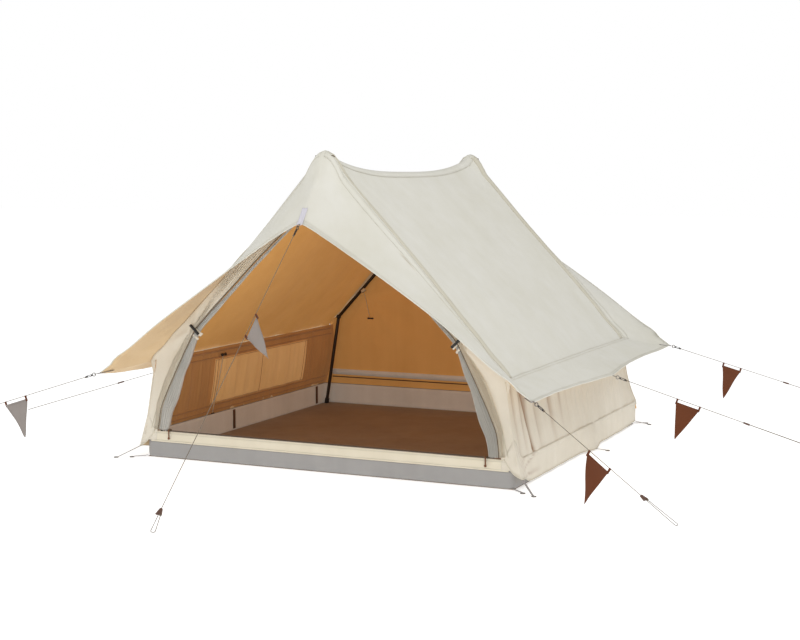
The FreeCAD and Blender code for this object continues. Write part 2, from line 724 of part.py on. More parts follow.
def slider(name, start, turn):
    """A tapered runner with a bore along the line."""
    plate = bound("Part::Wedge", name + "_plate",
                  Xmin="-Sizes.slider_narrow / 2", Xmax="Sizes.slider_narrow / 2",
                  X2min="-Sizes.slider_wide / 2", X2max="Sizes.slider_wide / 2",
                  Ymin="0", Ymax="Sizes.slider_length",
                  Zmin="-Sizes.slider_thickness / 2", Zmax="Sizes.slider_thickness / 2",
                  Z2min="-Sizes.slider_thickness / 2", Z2max="Sizes.slider_thickness / 2")
    bore = bound("Part::Cylinder", name + "_bore", Radius="Sizes.cord_diameter / 2 + 0.8",
                 Height="Sizes.slider_length * 2")
    bore.Placement = Placement(Vector(0, -10, 0), Rotation(Vector(1, 0, 0), -90))
    runner = without(name, plate, bore)
    along_x = Rotation(Vector(0, 0, 1), -90)
    runner.Placement = Placement(start, turn.multiply(along_x))
    return keep(runner, name)


def pennant(name, start, turn):
    """A three-cornered flag that hangs from the line by two tabs with eyelets."""
    cloth = bound("Part::Wedge", name + "_cloth",
                  Xmin="Sizes.flag_width / 2 - 2", Xmax="Sizes.flag_width / 2 + 2",
                  X2min="0", X2max="Sizes.flag_width",
                  Ymin="-Sizes.flag_depth - Sizes.flag_drop", Ymax="-Sizes.flag_drop",
                  Zmin="-0.8", Zmax="0.8", Z2min="-0.8", Z2max="0.8")
    eyelets = []
    for where, place in (("first", 0), ("second", size("flag_width") - FLAG_TAB)):
        tube = bound("Part::Cylinder", "%s_%s_tube" % (name, where), Radius="Sizes.cord_diameter / 2 + 2.3",
                     Height=str(FLAG_TAB))
        tube.Placement = Placement(Vector(place, 0, 0), Rotation(Vector(0, 1, 0), 90))
        tab = slab("%s_%s_tab" % (name, where), Vector(place, -size("flag_drop") - 1, -0.8),
                   Vector(place + FLAG_TAB, 0, 0.8))
        eyelets += [tube, tab]
    hole = bound("Part::Cylinder", name + "_hole", Radius="Sizes.cord_diameter / 2 + 0.7",
                 Height="Sizes.flag_width + 20")
    hole.Placement = Placement(Vector(-10, 0, 0), Rotation(Vector(0, 1, 0), 90))
    flag = without(name, joined(name + "_blank", [cloth] + eyelets), hole)
    upright = Rotation(Vector(1, 0, 0), 90)
    flag.Placement = Placement(start, turn.multiply(upright))
    return keep(flag, name)


def guy_lines():
    hooks = []
    for name, ground, flag_at, slider_at in GUY_LINES:
        anchor = guy_anchor(name)
        turn = line_frame(anchor, ground)
        way = turn.multVec(Vector(1, 0, 0))
        across = turn.multVec(Vector(0, 1, 0))
        hooks.append(hook("hook_" + name, anchor, turn))
        start = anchor + way * (size("ring_outer") + 0.5 + HOOK_LENGTH + 0.3)
        knot = anchor + way * (slider_at + size("slider_length") + 2) + across * RETURN_OFFSET
        cord("guy_line_" + name, [start, ground, ground + across * LOOP_WIDTH, knot], LOOP_BENDS)
        slider("slider_" + name, anchor + way * slider_at, turn)
        if flag_at is not None:
            pennant("pennant_" + name, anchor + way * flag_at, turn)
    group("guy_hooks", hooks)


# ---------------------------------------------------------------- pegging points
PEG_POINTS = [
    ("floor_corner", Vector(1004, 1008, 6), Vector(1058, 1050, 0), (-1, 1)),
    ("skirt_front", Vector(1041, 1002, 46), Vector(1126, 1092, 0), (-1,)),
    ("skirt_rear", Vector(1041, 1002, 46), Vector(1088, 1008, 0), (1,)),
]
MIDDLE_PEG = (Vector(1024, 120, 16), Vector(1104, 124, 0))


def pegging():
    """Webbing loops and rings at the groundsheet corners and along the skirts' hems."""
    loops = []
    rings = []
    for name, sewn, peg, ends in PEG_POINTS:
        for side in (-1, 1):
            for end in ends:
                sign = Vector(side, end, 1)
                add_peg_point("%s_%d_%d" % (name, side + 1, end + 1), scaled(sewn, sign), scaled(peg, sign),
                              loops, rings)
    for side in (-1, 1):
        sign = Vector(side, 1, 1)
        add_peg_point("middle_%d" % (side + 1), scaled(MIDDLE_PEG[0], sign), scaled(MIDDLE_PEG[1], sign),
                      loops, rings)
    group("peg_loops", loops)
    group("peg_rings", rings)


def scaled(point, sign):
    return Vector(point.x * sign.x, point.y * sign.y, point.z)


def add_peg_point(name, sewn, peg, loops, rings):
    height = size("ring_thickness")
    lifted = Vector(peg.x, peg.y, height / 2)
    ring = flat_ring("peg_" + name, lifted, Rotation(Vector(1, 0, 0), 90), "Sizes.peg_ring_outer",
                     "Sizes.peg_ring_inner", "Sizes.ring_thickness")
    rings.append(ring)
    way = Vector(peg.x - sewn.x, peg.y - sewn.y, 0).normalize()
    stop = peg - way * (size("peg_ring_outer") + 0.5) + Vector(0, 0, 2.5)
    across = Vector(0, 0, 1).cross(way) * 5
    loops.append(fabric("peg_loop_" + name, [sewn - across, stop - across], [sewn + across, stop + across],
                        Vector(0, 0, 1), 1.6, 0.2))


# ---------------------------------------------------------------- build and write
frames()
groundsheet()
roof()
ridge_binding()
for end_name, end in ENDS:
    awning(end_name, end)
sleeve_bands()
front_gable()
rear_gable()
door_flaps()
side_walls()
wall_trim()
door_zip()
toggles()
guy_fittings()
guy_lines()
pegging()
doc.recompute()

for piece in doc.Objects:
    if "Invalid" in piece.State or "Error" in piece.State:
        raise RuntimeError("%s did not recompute" % piece.Label)
os.makedirs("parts", exist_ok=True)
for piece in parts:
    shape = piece.Shape
    if shape.isNull() or not shape.isValid():
        raise RuntimeError("%s has no valid shape" % piece.Label)
    shape.exportStep("parts/%s.step" % piece.Label)
for name, bend in radii:
    print("bend radius in %s: %.1f mm" % (name, bend))
print("%d nodes" % len(parts))
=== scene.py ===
# %% [markdown]
# # A cotton ridge tent
# The tent has two house-shaped pole frames, one behind the other, and a canopy stretched over them.
# The poles, joints, rings and sliders come from the CAD model and only need finishes. Everything
# soft is made here: the canopy, walls, groundsheet, doors, pennants and lines.
# This cell loads the CAD model, bakes each part's placement into its mesh and removes the rest.

# %% load the frame
import math
import bmesh
import bpy
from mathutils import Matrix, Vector, noise


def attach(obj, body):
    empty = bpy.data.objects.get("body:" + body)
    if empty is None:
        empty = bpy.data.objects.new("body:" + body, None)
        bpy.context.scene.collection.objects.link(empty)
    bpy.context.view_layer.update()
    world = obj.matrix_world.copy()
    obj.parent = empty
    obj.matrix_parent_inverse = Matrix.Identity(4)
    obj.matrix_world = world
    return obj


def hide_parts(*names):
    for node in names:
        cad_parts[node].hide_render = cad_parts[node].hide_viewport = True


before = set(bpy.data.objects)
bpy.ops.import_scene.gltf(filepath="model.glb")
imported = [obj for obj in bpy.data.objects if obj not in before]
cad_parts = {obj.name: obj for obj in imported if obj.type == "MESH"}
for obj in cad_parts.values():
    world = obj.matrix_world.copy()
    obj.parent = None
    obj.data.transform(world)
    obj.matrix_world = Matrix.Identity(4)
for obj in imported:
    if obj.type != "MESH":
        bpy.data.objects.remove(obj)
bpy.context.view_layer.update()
bpy.ops.object.select_all(action="DESELECT")

# %% [markdown]
# The driving sizes are the CAD model's own, in metres. The tent stands with the middle of its
# floor at the origin, -Y towards the doorway and the ridge along Y.

# %% sizes
FLOOR_HALF = 1.000        # middle to the groundsheet's edge, both ways
TUB_HEIGHT = 0.125
SILL_HEIGHT = 0.086       # grey front edge of the groundsheet
STRIP_TOP = 0.138         # canvas strip above it
FRAME_Y = 0.935           # middle to the plane of each pole frame
PEAK_Z = 1.548
RIDGE_SAG = 0.094
SEAM_X = 0.950            # seam of roof and side wall
SEAM_Z = 0.503
WING_X = 1.154            # corner of the eave wing
WING_Y = 1.184
WING_Z = 0.446
TIP_Y = 1.190             # tip of each awning
TIP_Z = 1.217
AWNING_BOW = 0.028
WALL_FOOT_X = 1.004
WALL_FOOT_Z = 0.138
DOOR_TOP = 1.340
CORD = 0.003
SIDES = (("left", -1), ("right", 1))
ENDS = (("front", -1), ("rear", 1))

# %% [markdown]
# The camera stands to the right of the doorway and a little below the peaks, and looks slightly
# down. A long lens keeps the two pole frames nearly parallel.

# %% camera
CAMERA_AT = Vector((3.325, -7.359, 1.451))
CAMERA_YAW = math.radians(24.52)
CAMERA_PITCH = math.radians(-5.65)
CAMERA_LENS = 67.5
camera_data = bpy.data.cameras.new("camera")
camera_data.lens = CAMERA_LENS
camera_data.sensor_width = 36
camera = bpy.data.objects.new("camera", camera_data)
camera.location = CAMERA_AT
camera.rotation_euler = (math.pi / 2 + CAMERA_PITCH, 0, CAMERA_YAW)
bpy.context.scene.collection.objects.link(camera)
bpy.context.scene.camera = camera

# %% [markdown]
# Studio light: a very large soft lamp above and to the right, a weaker one from the left, and one
# low in front of the doorway so that the inside stays readable. The world is white to the camera
# and a little dimmer as light. The floor is a wide pale plane that glows faintly, as paper on a
# light table does, so that it runs into the background without a horizon.

# %% stage and lights
WORLD_STRENGTH = 0.60
FLOOR_GLOW = 0.47


def soft_lamp(name, place, aim, width, power):
    """A square lamp that shines from its place towards a point."""
    data = bpy.data.lights.new(name, "AREA")
    data.shape = "SQUARE"
    data.size = width
    data.energy = power
    lamp = bpy.data.objects.new(name, data)
    lamp.location = place
    lamp.rotation_euler = (Vector(aim) - Vector(place)).to_track_quat("-Z", "Y").to_euler()
    bpy.context.scene.collection.objects.link(lamp)


soft_lamp("key_lamp", (3.6, -2.6, 6.6), (0, 0, 0.6), 5.0, 172)
soft_lamp("fill_lamp", (-6.0, -2.5, 4.0), (0, 0, 0.6), 5.0, 60)
soft_lamp("door_lamp", (1.5, -6.5, 1.2), (0, 0, 0.5), 3.0, 32)
world = bpy.data.worlds.new("pale_world")
world.use_nodes = True
world_tree = world.node_tree
light_path = world_tree.nodes.new("ShaderNodeLightPath")
strength = world_tree.nodes.new("ShaderNodeMapRange")
strength.inputs["To Min"].default_value = WORLD_STRENGTH
strength.inputs["To Max"].default_value = 1.0
world_tree.links.new(light_path.outputs["Is Camera Ray"], strength.inputs["Value"])
world_tree.nodes["Background"].inputs["Color"].default_value = (1.0, 1.0, 1.0, 1.0)
world_tree.links.new(strength.outputs[0], world_tree.nodes["Background"].inputs["Strength"])
bpy.context.scene.world = world
bpy.context.scene.view_settings.view_transform = "Standard"
bpy.ops.mesh.primitive_plane_add(size=80, location=(0, 0, -0.001))
floor_plane = bpy.context.object
floor_plane.name = "studio_floor"
floor_paper = bpy.data.materials.new("studio_paper")
floor_paper.use_nodes = True
floor_shader = floor_paper.node_tree.nodes["Principled BSDF"]
paper_noise = floor_paper.node_tree.nodes.new("ShaderNodeTexNoise")
paper_noise.inputs["Scale"].default_value = 0.6
paper_range = floor_paper.node_tree.nodes.new("ShaderNodeMapRange")
paper_range.inputs["To Min"].default_value = 0.86
paper_range.inputs["To Max"].default_value = 0.90
floor_paper.node_tree.links.new(paper_noise.outputs["Fac"], paper_range.inputs["Value"])
floor_shader.inputs["Base Color"].default_value = (0.92, 0.92, 0.92, 1)
floor_shader.inputs["Specular IOR Level"].default_value = 0.0
floor_shader.inputs["Emission Color"].default_value = (1, 1, 1, 1)
floor_shader.inputs["Emission Strength"].default_value = FLOOR_GLOW
floor_paper.node_tree.links.new(paper_range.outputs[0], floor_shader.inputs["Roughness"])
floor_plane.data.materials.append(floor_paper)

# %% [markdown]
# Helpers for colour and for node groups. Colours are written as they look on a screen, and
# turned into the linear values that the renderer wants.


# %% colour and node helpers
def srgb(red, green, blue):
    """A screen colour (0 to 255) as linear red, green, blue and alpha."""
    def linear(channel):
        share = channel / 255
        return share / 12.92 if share <= 0.04045 else ((share + 0.055) / 1.055) ** 2.4
    return (linear(red), linear(green), linear(blue), 1.0)


def group_tree(name, inputs, outputs):
    """An empty shader group with named sockets: (name, socket type, value) in, (name, type) out."""
    tree = bpy.data.node_groups.new(name, "ShaderNodeTree")
    for label, kind, value in inputs:
        socket = tree.interface.new_socket(label, in_out="INPUT", socket_type=kind)
        socket.default_value = value
    for label, kind in outputs:
        tree.interface.new_socket(label, in_out="OUTPUT", socket_type=kind)
    return tree, tree.nodes.new("NodeGroupInput"), tree.nodes.new("NodeGroupOutput")


def math_node(tree, operation, first, second=None):
    """A Math node; each operand is a socket or a number."""
    node = tree.nodes.new("ShaderNodeMath")
    node.operation = operation
    for index, value in enumerate((first, second)):
        if value is None:
            continue
        if isinstance(value, (int, float)):
            node.inputs[index].default_value = value
        else:
            tree.links.new(value, node.inputs[index])
    return node.outputs[0]


def color_mix(tree, share, first, second):
    """A Mix node for colours; each operand is a socket or a colour."""
    node = tree.nodes.new("ShaderNodeMix")
    node.data_type = "RGBA"
    for key, value in ((0, share), (6, first), (7, second)):
        if isinstance(value, (int, float, tuple)):
            node.inputs[key].default_value = value
        else:
            tree.links.new(value, node.inputs[key])
    return node.outputs[2]


def noise_texture(tree, vector, scale=1.0, detail=2.0):
    node = tree.nodes.new("ShaderNodeTexNoise")
    node.inputs["Scale"].default_value = scale
    node.inputs["Detail"].default_value = detail
    tree.links.new(vector, node.inputs["Vector"])
    return node


def stretched(tree, vector, scale):
    """Coordinates multiplied by a scale of their own in each direction."""
    mapping = tree.nodes.new("ShaderNodeMapping")
    mapping.inputs["Scale"].default_value = scale
    tree.links.new(vector, mapping.inputs["Vector"])
    return mapping.outputs[0]


# %% [markdown]
# Woven cloth is the finish of nearly everything here, so it is one node group. Each piece of cloth
# carries a UV map in metres that follows its threads, and two wave textures across it make the
# threads. Noise stretched along them makes thicker yarns, and broad noise makes the slightly
# uneven colour of cotton.


# %% woven cloth group
def build_weave_group():
    tree, entry, exit_ = group_tree(
        "woven_cloth",
        [("Light Color", "NodeSocketColor", (0.8, 0.8, 0.8, 1)),
         ("Dark Color", "NodeSocketColor", (0.6, 0.6, 0.6, 1)),
         ("Thread Scale", "NodeSocketFloat", 180.0), ("Mottle Scale", "NodeSocketFloat", 3.0),
         ("Streaks", "NodeSocketFloat", 0.5)],
        [("Color", "NodeSocketColor"), ("Height", "NodeSocketFloat"), ("Roughness", "NodeSocketFloat")])
    uv = tree.nodes.new("ShaderNodeUVMap")
    uv.uv_map = "cloth"
    threads = []
    for direction in ("X", "Y"):
        wave = tree.nodes.new("ShaderNodeTexWave")
        wave.bands_direction = direction
        wave.inputs["Distortion"].default_value = 0.6
        wave.inputs["Detail"].default_value = 1.0
        tree.links.new(uv.outputs[0], wave.inputs["Vector"])
        tree.links.new(entry.outputs["Thread Scale"], wave.inputs["Scale"])
        threads.append(wave.outputs["Fac"])
    weave = math_node(tree, "MAXIMUM", threads[0], threads[1])
    slubs = []
    for stretch in ((30.0, 900.0, 1.0), (900.0, 30.0, 1.0)):
        slub = noise_texture(tree, stretched(tree, uv.outputs[0], stretch), 1.0, 1.0)
        slubs.append(slub.outputs["Fac"])
    yarn = math_node(tree, "MULTIPLY", slubs[0], slubs[1])
    where = tree.nodes.new("ShaderNodeTexCoord")
    mottle = noise_texture(tree, where.outputs["Object"], detail=4.0)
    mottle.inputs["Roughness"].default_value = 0.62
    tree.links.new(entry.outputs["Mottle Scale"], mottle.inputs["Scale"])
    streak = noise_texture(tree, stretched(tree, where.outputs["Object"], (9.0, 9.0, 0.7)), 1.6)
    streaks = math_node(tree, "MULTIPLY", streak.outputs["Fac"], entry.outputs["Streaks"])
    blend = math_node(tree, "ADD", math_node(tree, "MULTIPLY", mottle.outputs["Fac"], 0.9), streaks)
    blend = math_node(tree, "SUBTRACT", blend, math_node(tree, "MULTIPLY", weave, 0.18))
    ramp = tree.nodes.new("ShaderNodeMapRange")
    ramp.inputs["From Min"].default_value = 0.25
    ramp.inputs["From Max"].default_value = 0.95
    tree.links.new(blend, ramp.inputs["Value"])
    color = color_mix(tree, ramp.outputs[0], entry.outputs["Light Color"], entry.outputs["Dark Color"])
    tree.links.new(color, exit_.inputs["Color"])
    height = math_node(tree, "MULTIPLY", weave, 0.6)
    height = math_node(tree, "ADD", height, math_node(tree, "MULTIPLY", yarn, 1.2))
    tree.links.new(height, exit_.inputs["Height"])
    rough = math_node(tree, "ADD", math_node(tree, "MULTIPLY", yarn, 0.25), 0.72)
    tree.links.new(rough, exit_.inputs["Roughness"])
    return tree


weave_group = build_weave_group()
CLOTH_STREAKS = 0.4
CLOTH_SHEEN = 0.15


def new_material(name, tint):
    """A material with a Principled shader; tint is its plain colour in the viewport."""
    material = bpy.data.materials.new(name)
    material.use_nodes = True
    material.diffuse_color = tint
    return material, material.node_tree, material.node_tree.nodes["Principled BSDF"]


def bump(tree, shader, height, strength, distance):
    node = tree.nodes.new("ShaderNodeBump")
    node.inputs["Strength"].default_value = strength
    node.inputs["Distance"].default_value = distance
    tree.links.new(height, node.inputs["Height"])
    tree.links.new(node.outputs[0], shader.inputs["Normal"])


def cloth_material(name, light, dark, threads=180.0, mottle=3.0, weight=0.35, painted_glow=0.0, fold=None):
    """A cloth: two colours, threads per wave unit, how broad its uneven colour is, how strongly the
    weave stands out, how strongly it glows as painted light for light coming through it, and the painted
    shade colour mixed in where its 'fold' attribute marks a fold."""
    material, tree, shader = new_material(name, light)
    weave = tree.nodes.new("ShaderNodeGroup")
    weave.node_tree = weave_group
    weave.inputs["Light Color"].default_value = light
    weave.inputs["Dark Color"].default_value = dark
    weave.inputs["Thread Scale"].default_value = threads
    weave.inputs["Mottle Scale"].default_value = mottle
    weave.inputs["Streaks"].default_value = CLOTH_STREAKS
    tree.links.new(weave.outputs["Color"], shader.inputs["Base Color"])
    tree.links.new(weave.outputs["Roughness"], shader.inputs["Roughness"])
    # Painted shade: the colour is mixed towards the fold colour where the 'fold' attribute marks the depth of
    # a fold.
    if fold is not None:
        depth = tree.nodes.new("ShaderNodeAttribute")
        depth.attribute_name = "fold"
        painted_fold_shade_color = color_mix(tree, depth.outputs["Fac"], weave.outputs["Color"], fold)
        tree.links.new(painted_fold_shade_color, shader.inputs["Base Color"])
    # Painted light: an emission glow that stands in for light coming through the cloth.
    if painted_glow > 0:
        tree.links.new(weave.outputs["Color"], shader.inputs["Emission Color"])
        shader.inputs["Emission Strength"].default_value = painted_glow
    bump(tree, shader, weave.outputs["Height"], weight, 0.0006)
    shader.inputs["Sheen Weight"].default_value = CLOTH_SHEEN
    shader.inputs["Specular IOR Level"].default_value = 0.2
    return material


# %% [markdown]
# The cloths. Sunlight comes through the cotton, so its inside looks much warmer than its outside;
# the two faces of the canopy therefore have a finish each, and that warmth is painted light: warm
# colours and an emission glow on the inside faces, and painted shade with a glow on the undersides.

# %% cloth finishes
CANVAS = cloth_material("canvas_cream", srgb(222, 220, 211), srgb(210, 207, 192))
# Painted light: a warm colour and a glow stand in for sunlight coming through the roof.
CANVAS_INSIDE_PAINTED_LIGHT = cloth_material("canvas_inside_painted_light", srgb(222, 172, 100), srgb(205, 150, 78),
                               mottle=2.0, painted_glow=0.28)
# Painted shade and light: a darker tan for the shaded undersides of wings, awnings and skirts, and a glow for
# light coming through.
CANVAS_UNDERSIDE_SHADE_AND_GLOW = cloth_material("canvas_underside_shade_and_glow", srgb(208, 184, 148), srgb(192, 165, 125), painted_glow=0.20)
# The fold colour is painted shade, mixed in where a wall's or skirt's 'fold' attribute marks a deep fold.
WALL_CANVAS = cloth_material("wall_canvas", srgb(226, 219, 204), srgb(209, 201, 184),
                             fold=srgb(134, 90, 52))
# Painted light: a warm colour and a glow for sunlight coming through the gables.
WALL_INSIDE_PAINTED_LIGHT = cloth_material("wall_inside_painted_light", srgb(216, 166, 100), srgb(198, 146, 82), mottle=2.0, painted_glow=0.20)
# Painted shade and light: the side walls' inside is painted darker than the gables' as shade, and glows for
# light coming through.
SIDE_INSIDE_SHADE_AND_GLOW = cloth_material("side_inside_painted_shade_and_glow", srgb(192, 144, 92), srgb(172, 124, 74), mottle=2.0, painted_glow=0.16)
# Painted light: the window cover glows for light coming through it.
COVER_CLOTH = cloth_material("cover_cloth", srgb(226, 184, 126), srgb(208, 164, 104), mottle=2.0, painted_glow=0.28)
DOOR_CLOTH = cloth_material("door_cloth", srgb(232, 222, 204), srgb(214, 203, 182))
ZIP_CLOTH = cloth_material("zip_tape", srgb(120, 104, 84), srgb(92, 78, 62), threads=60.0, weight=0.9)
# Painted light: the bands glow a little.
BAND_CLOTH = cloth_material("band_cloth", srgb(168, 124, 82), srgb(148, 104, 66), threads=120.0, painted_glow=0.20)
SLEEVE_CLOTH = cloth_material("sleeve_cloth", srgb(211, 206, 189), srgb(197, 191, 171))
FLOOR_CLOTH = cloth_material("floor_cloth", srgb(152, 132, 110), srgb(124, 104, 86),
                             threads=90.0, weight=0.25)
# Painted light: the inside of the tray glows a little.
TUB_CLOTH = cloth_material("tub_cloth", srgb(222, 218, 210), srgb(198, 192, 182), threads=120.0, painted_glow=0.12)
SILL_CLOTH = cloth_material("sill_cloth", srgb(166, 164, 162), srgb(150, 148, 146), threads=120.0)
STRIP_CLOTH = cloth_material("strip_cloth", srgb(230, 222, 202), srgb(216, 207, 184))
# Painted light: the net glows faintly.
NET_CLOTH = cloth_material("net_cloth", srgb(218, 215, 208), srgb(190, 187, 179),
                           threads=60.0, weight=0.8, painted_glow=0.03)
WEBBING = cloth_material("webbing_grey", srgb(166, 161, 160), srgb(142, 137, 136), threads=60.0, weight=0.9)
FLAG_BROWN = cloth_material("flag_brown", srgb(106, 57, 29), srgb(88, 44, 21), threads=110.0)
FLAG_GREY = cloth_material("flag_grey", srgb(160, 152, 147), srgb(130, 122, 116), threads=110.0)
STITCH_CLOTH = cloth_material("stitching", srgb(214, 208, 192), srgb(200, 194, 176), threads=60.0)
PIPING = cloth_material("piping_cloth", srgb(218, 212, 196), srgb(200, 193, 172), threads=60.0)
PALE_WEBBING = cloth_material("webbing_pale", srgb(216, 213, 220), srgb(198, 195, 204),
                              threads=60.0, weight=0.9)
STRAP_CLOTH = cloth_material("strap_cloth", srgb(112, 84, 62), srgb(92, 68, 50), threads=60.0, weight=0.9)
print("cloth finishes ready")

# %% [markdown]
# Small toggles on the ties are moulded in black plastic: fine grain, and roughness that varies.

# %% black plastic
BLACK_PLASTIC, plastic_tree, plastic_shader = new_material("toggle_black", srgb(40, 38, 36))
plastic_where = plastic_tree.nodes.new("ShaderNodeTexCoord")
plastic_noise = noise_texture(plastic_tree, plastic_where.outputs["Object"], 700.0)
plastic_color = color_mix(plastic_tree, plastic_noise.outputs["Fac"], srgb(30, 29, 28), srgb(56, 53, 50))
plastic_tree.links.new(plastic_color, plastic_shader.inputs["Base Color"])
plastic_rough = math_node(plastic_tree, "ADD", plastic_noise.outputs["Fac"], -0.05)
plastic_tree.links.new(plastic_rough, plastic_shader.inputs["Roughness"])
bump(plastic_tree, plastic_shader, plastic_noise.outputs["Fac"], 0.2, 0.0002)
print("black plastic ready")

# %% [markdown]
# Sheets of cloth are made from grids of points. One helper turns one or more grids into a mesh,
# welds the grids where they meet, lays a UV map in metres along the threads, turns the faces
# outwards and gives the cloth its thickness with a Solidify modifier.


# %% cloth helpers
def lerp(first, second, share):
    return Vector(first) + (Vector(second) - Vector(first)) * share


def ease(value):
    """0 below 0, 1 above 1 and a smooth step between."""
    value = min(1.0, max(0.0, value))
    return value * value * (3 - 2 * value)


def ruffle(x, y=0.0, z=0.0):
    """Smooth noise between about -1 and 1."""
    return noise.noise(Vector((x, y, z))) * 1.6


def steps(count, low=0.0, high=1.0):
    return [low + (high - low) * i / (count - 1) for i in range(count)]


def add_grid(mesh, uv_layer, rows, material_index, shift=0.0):
    """One grid of points as quads, with its UV map measured along its rows and columns."""
    points = [[mesh.verts.new(point) for point in row] for row in rows]
    down = [0.0]
    middle = len(rows[0]) // 2
    for above, below in zip(rows, rows[1:]):
        down.append(down[-1] + (below[middle] - above[middle]).length)
    across = [0.0]
    for left, right in zip(rows[len(rows) // 2], rows[len(rows) // 2][1:]):
        across.append(across[-1] + (right - left).length)
    for i in range(len(rows) - 1):
        for j in range(len(rows[0]) - 1):
            corners = [(i, j), (i + 1, j), (i + 1, j + 1), (i, j + 1)]
            face = mesh.faces.new([points[a][b] for a, b in corners])
            face.material_index = material_index
            face.smooth = True
            for loop, (a, b) in zip(face.loops, corners):
                loop[uv_layer].uv = (across[b] + shift, down[a])


def select_only(piece):
    bpy.ops.object.select_all(action="DESELECT")
    piece.select_set(True)
    bpy.context.view_layer.objects.active = piece


def apply_modifiers(piece):
    select_only(piece)
    for modifier in list(piece.modifiers):
        bpy.ops.object.modifier_apply(modifier=modifier.name)


def piece_from(name, mesh, finishes):
    """An object from a finished bmesh, with its finishes in the order of its material indexes."""
    data = bpy.data.meshes.new(name)
    mesh.to_mesh(data)
    mesh.free()
    piece = bpy.data.objects.new(name, data)
    bpy.context.scene.collection.objects.link(piece)
    for finish in finishes:
        data.materials.append(finish)
    return piece


def cloth_piece(name, grids, outward, thickness, finishes, indexes=None, offsets=(1, 1), weld=0.0008):
    """A sheet of cloth from grids of points; outward gives the outside direction at a point.

    indexes gives each grid's finish, and offsets how many finishes further its inside and rim are."""
    mesh = bmesh.new()
    uv_layer = mesh.loops.layers.uv.new("cloth")
    for number, rows in enumerate(grids):
        add_grid(mesh, uv_layer, rows, indexes[number] if indexes else 0, shift=number * 0.37)
    bmesh.ops.remove_doubles(mesh, verts=mesh.verts, dist=weld)
    bmesh.ops.dissolve_degenerate(mesh, edges=mesh.edges, dist=0.00005)
    bmesh.ops.recalc_face_normals(mesh, faces=mesh.faces)
    facing = 0.0
    for face in mesh.faces:
        facing += face.normal.dot(outward(face.calc_center_median())) * face.calc_area()
    if facing < 0:
        bmesh.ops.reverse_faces(mesh, faces=mesh.faces)
    piece = piece_from(name, mesh, finishes)
    if thickness:
        solid = piece.modifiers.new("thickness", "SOLIDIFY")
        solid.thickness = thickness
        solid.offset = -1
        solid.use_even_offset = False
        solid.material_offset = offsets[0]
        solid.material_offset_rim = offsets[1]
        apply_modifiers(piece)
    return piece


def cloth_area(grids):
    """Area of one face of the cloth."""
    total = 0.0
    for rows in grids:
        for above, below in zip(rows, rows[1:]):
            for j in range(len(above) - 1):
                total += (above[j + 1] - above[j]).cross(below[j] - above[j]).length / 2
                total += (below[j + 1] - below[j]).cross(below[j + 1] - above[j + 1]).length / 2
    return total


def finish_piece(piece, body, slot, *nodes):
    """Say which body a piece moves with and hide the CAD nodes it stands for; slot, whose finish it takes, is
    not used.
    """
    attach(piece, body)
    if nodes:
        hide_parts(*nodes)


def toward_y(sign):
    return lambda point: Vector((0, sign, 0))


def toward_side(point):
    return Vector((math.copysign(1, point.x), 0, 0.3))


def upward(point):
    return Vector((0, 0, 1))


# %% [markdown]
# The canopy is one sheet: roof, awnings and eave wings together. Four facts give its shape: the
# ridge sags between the peaks, the roof runs straight down to the eave seam, the awnings reach
# forward to a tip that a line pulls, and the wings' edges are scallops between their pulling points.

# %% canopy shape
ROOF_SLOPE = (PEAK_Z - SEAM_Z) / SEAM_X
RIDGE_BEND = 0.005        # half the width over which the ridge is rounded
PEAK_RADIUS = 0.042


def ridge_height(along):
    """Height of the ridge; along is -1 at the front peak and 1 at the rear peak."""
    return PEAK_Z - RIDGE_SAG * (1 - abs(along) ** 3)


def seam_point(side, along):
    return Vector((side * SEAM_X, along * FRAME_Y, SEAM_Z))


def wing_edge(side, along):
    """The free edge of an eave wing, pulled out at its corners and its middle."""
    scallop = abs(math.sin(math.pi * along)) * 0.048
    x = WING_X + 0.008 * (1 - abs(along)) - scallop
    return Vector((side * x, along * WING_Y, WING_Z - 0.030 * (1 - along * along)))


def peak_cap(x, y):
    """Height of the rounded cap that a frame's hub pushes up in the canvas."""
    away = (y - FRAME_Y) * (1.3 if y > FRAME_Y else 0.8)
    return PEAK_Z + 0.001 - (x * x + away * away) / (2 * PEAK_RADIUS)


def canopy_relief(point):
    """Small moves off the stretched shape: a rounded ridge, broad undulation and tension folds."""
    side = math.copysign(1, point.x)
    off_ridge = ease(abs(point.x) / 0.12)
    outward = Vector((side * 0.74, 0, 0.67))
    rounding = ROOF_SLOPE * (math.hypot(point.x, RIDGE_BEND) - abs(point.x))
    push = 0.007 * ruffle(point.x * 1.3 + 4, point.y * 1.6, point.z * 1.2)
    push += 0.0025 * ruffle(point.x * 3 + 9, point.y * 6.5, point.z * 2)
    to_edge = ease((abs(point.x) - 0.80) / 0.30)
    push += 0.0045 * to_edge * ruffle(1.5, point.y * 9.0, 7.0)
    corner = Vector((side * WING_X, math.copysign(WING_Y, point.y), WING_Z))
    away = point - corner
    reach = 1 - away.length / 0.75
    if reach > 0:
        angle = math.atan2(away.z * 1.2 - abs(away.x) * 0.4, abs(away.y) + 0.02)
        push += 0.006 * ease(reach) * ease(away.length / 0.10) * math.sin(angle * 17)
    peak = Vector((0, math.copysign(FRAME_Y, point.y), PEAK_Z))
    away = point - peak
    reach = 1 - away.length / 0.7
    if reach > 0:
        angle = math.atan2(away.y, abs(away.x) + 0.02)
        push += 0.0028 * ease(reach) * math.sin(angle * 19)
    moved = point + outward * push * off_ridge - Vector((0, 0, rounding))
    over = peak_cap(moved.x, abs(moved.y)) - moved.z
    moved.z += 0.5 * (over + math.hypot(over, 0.010))
    return moved


def roof_point(side, along, share):
    """A point of the roof: share is 0 at the ridge and 1 at the eave seam."""
    ridge = Vector((0, along * FRAME_Y, ridge_height(along)))
    return canopy_relief(lerp(ridge, seam_point(side, along), share))


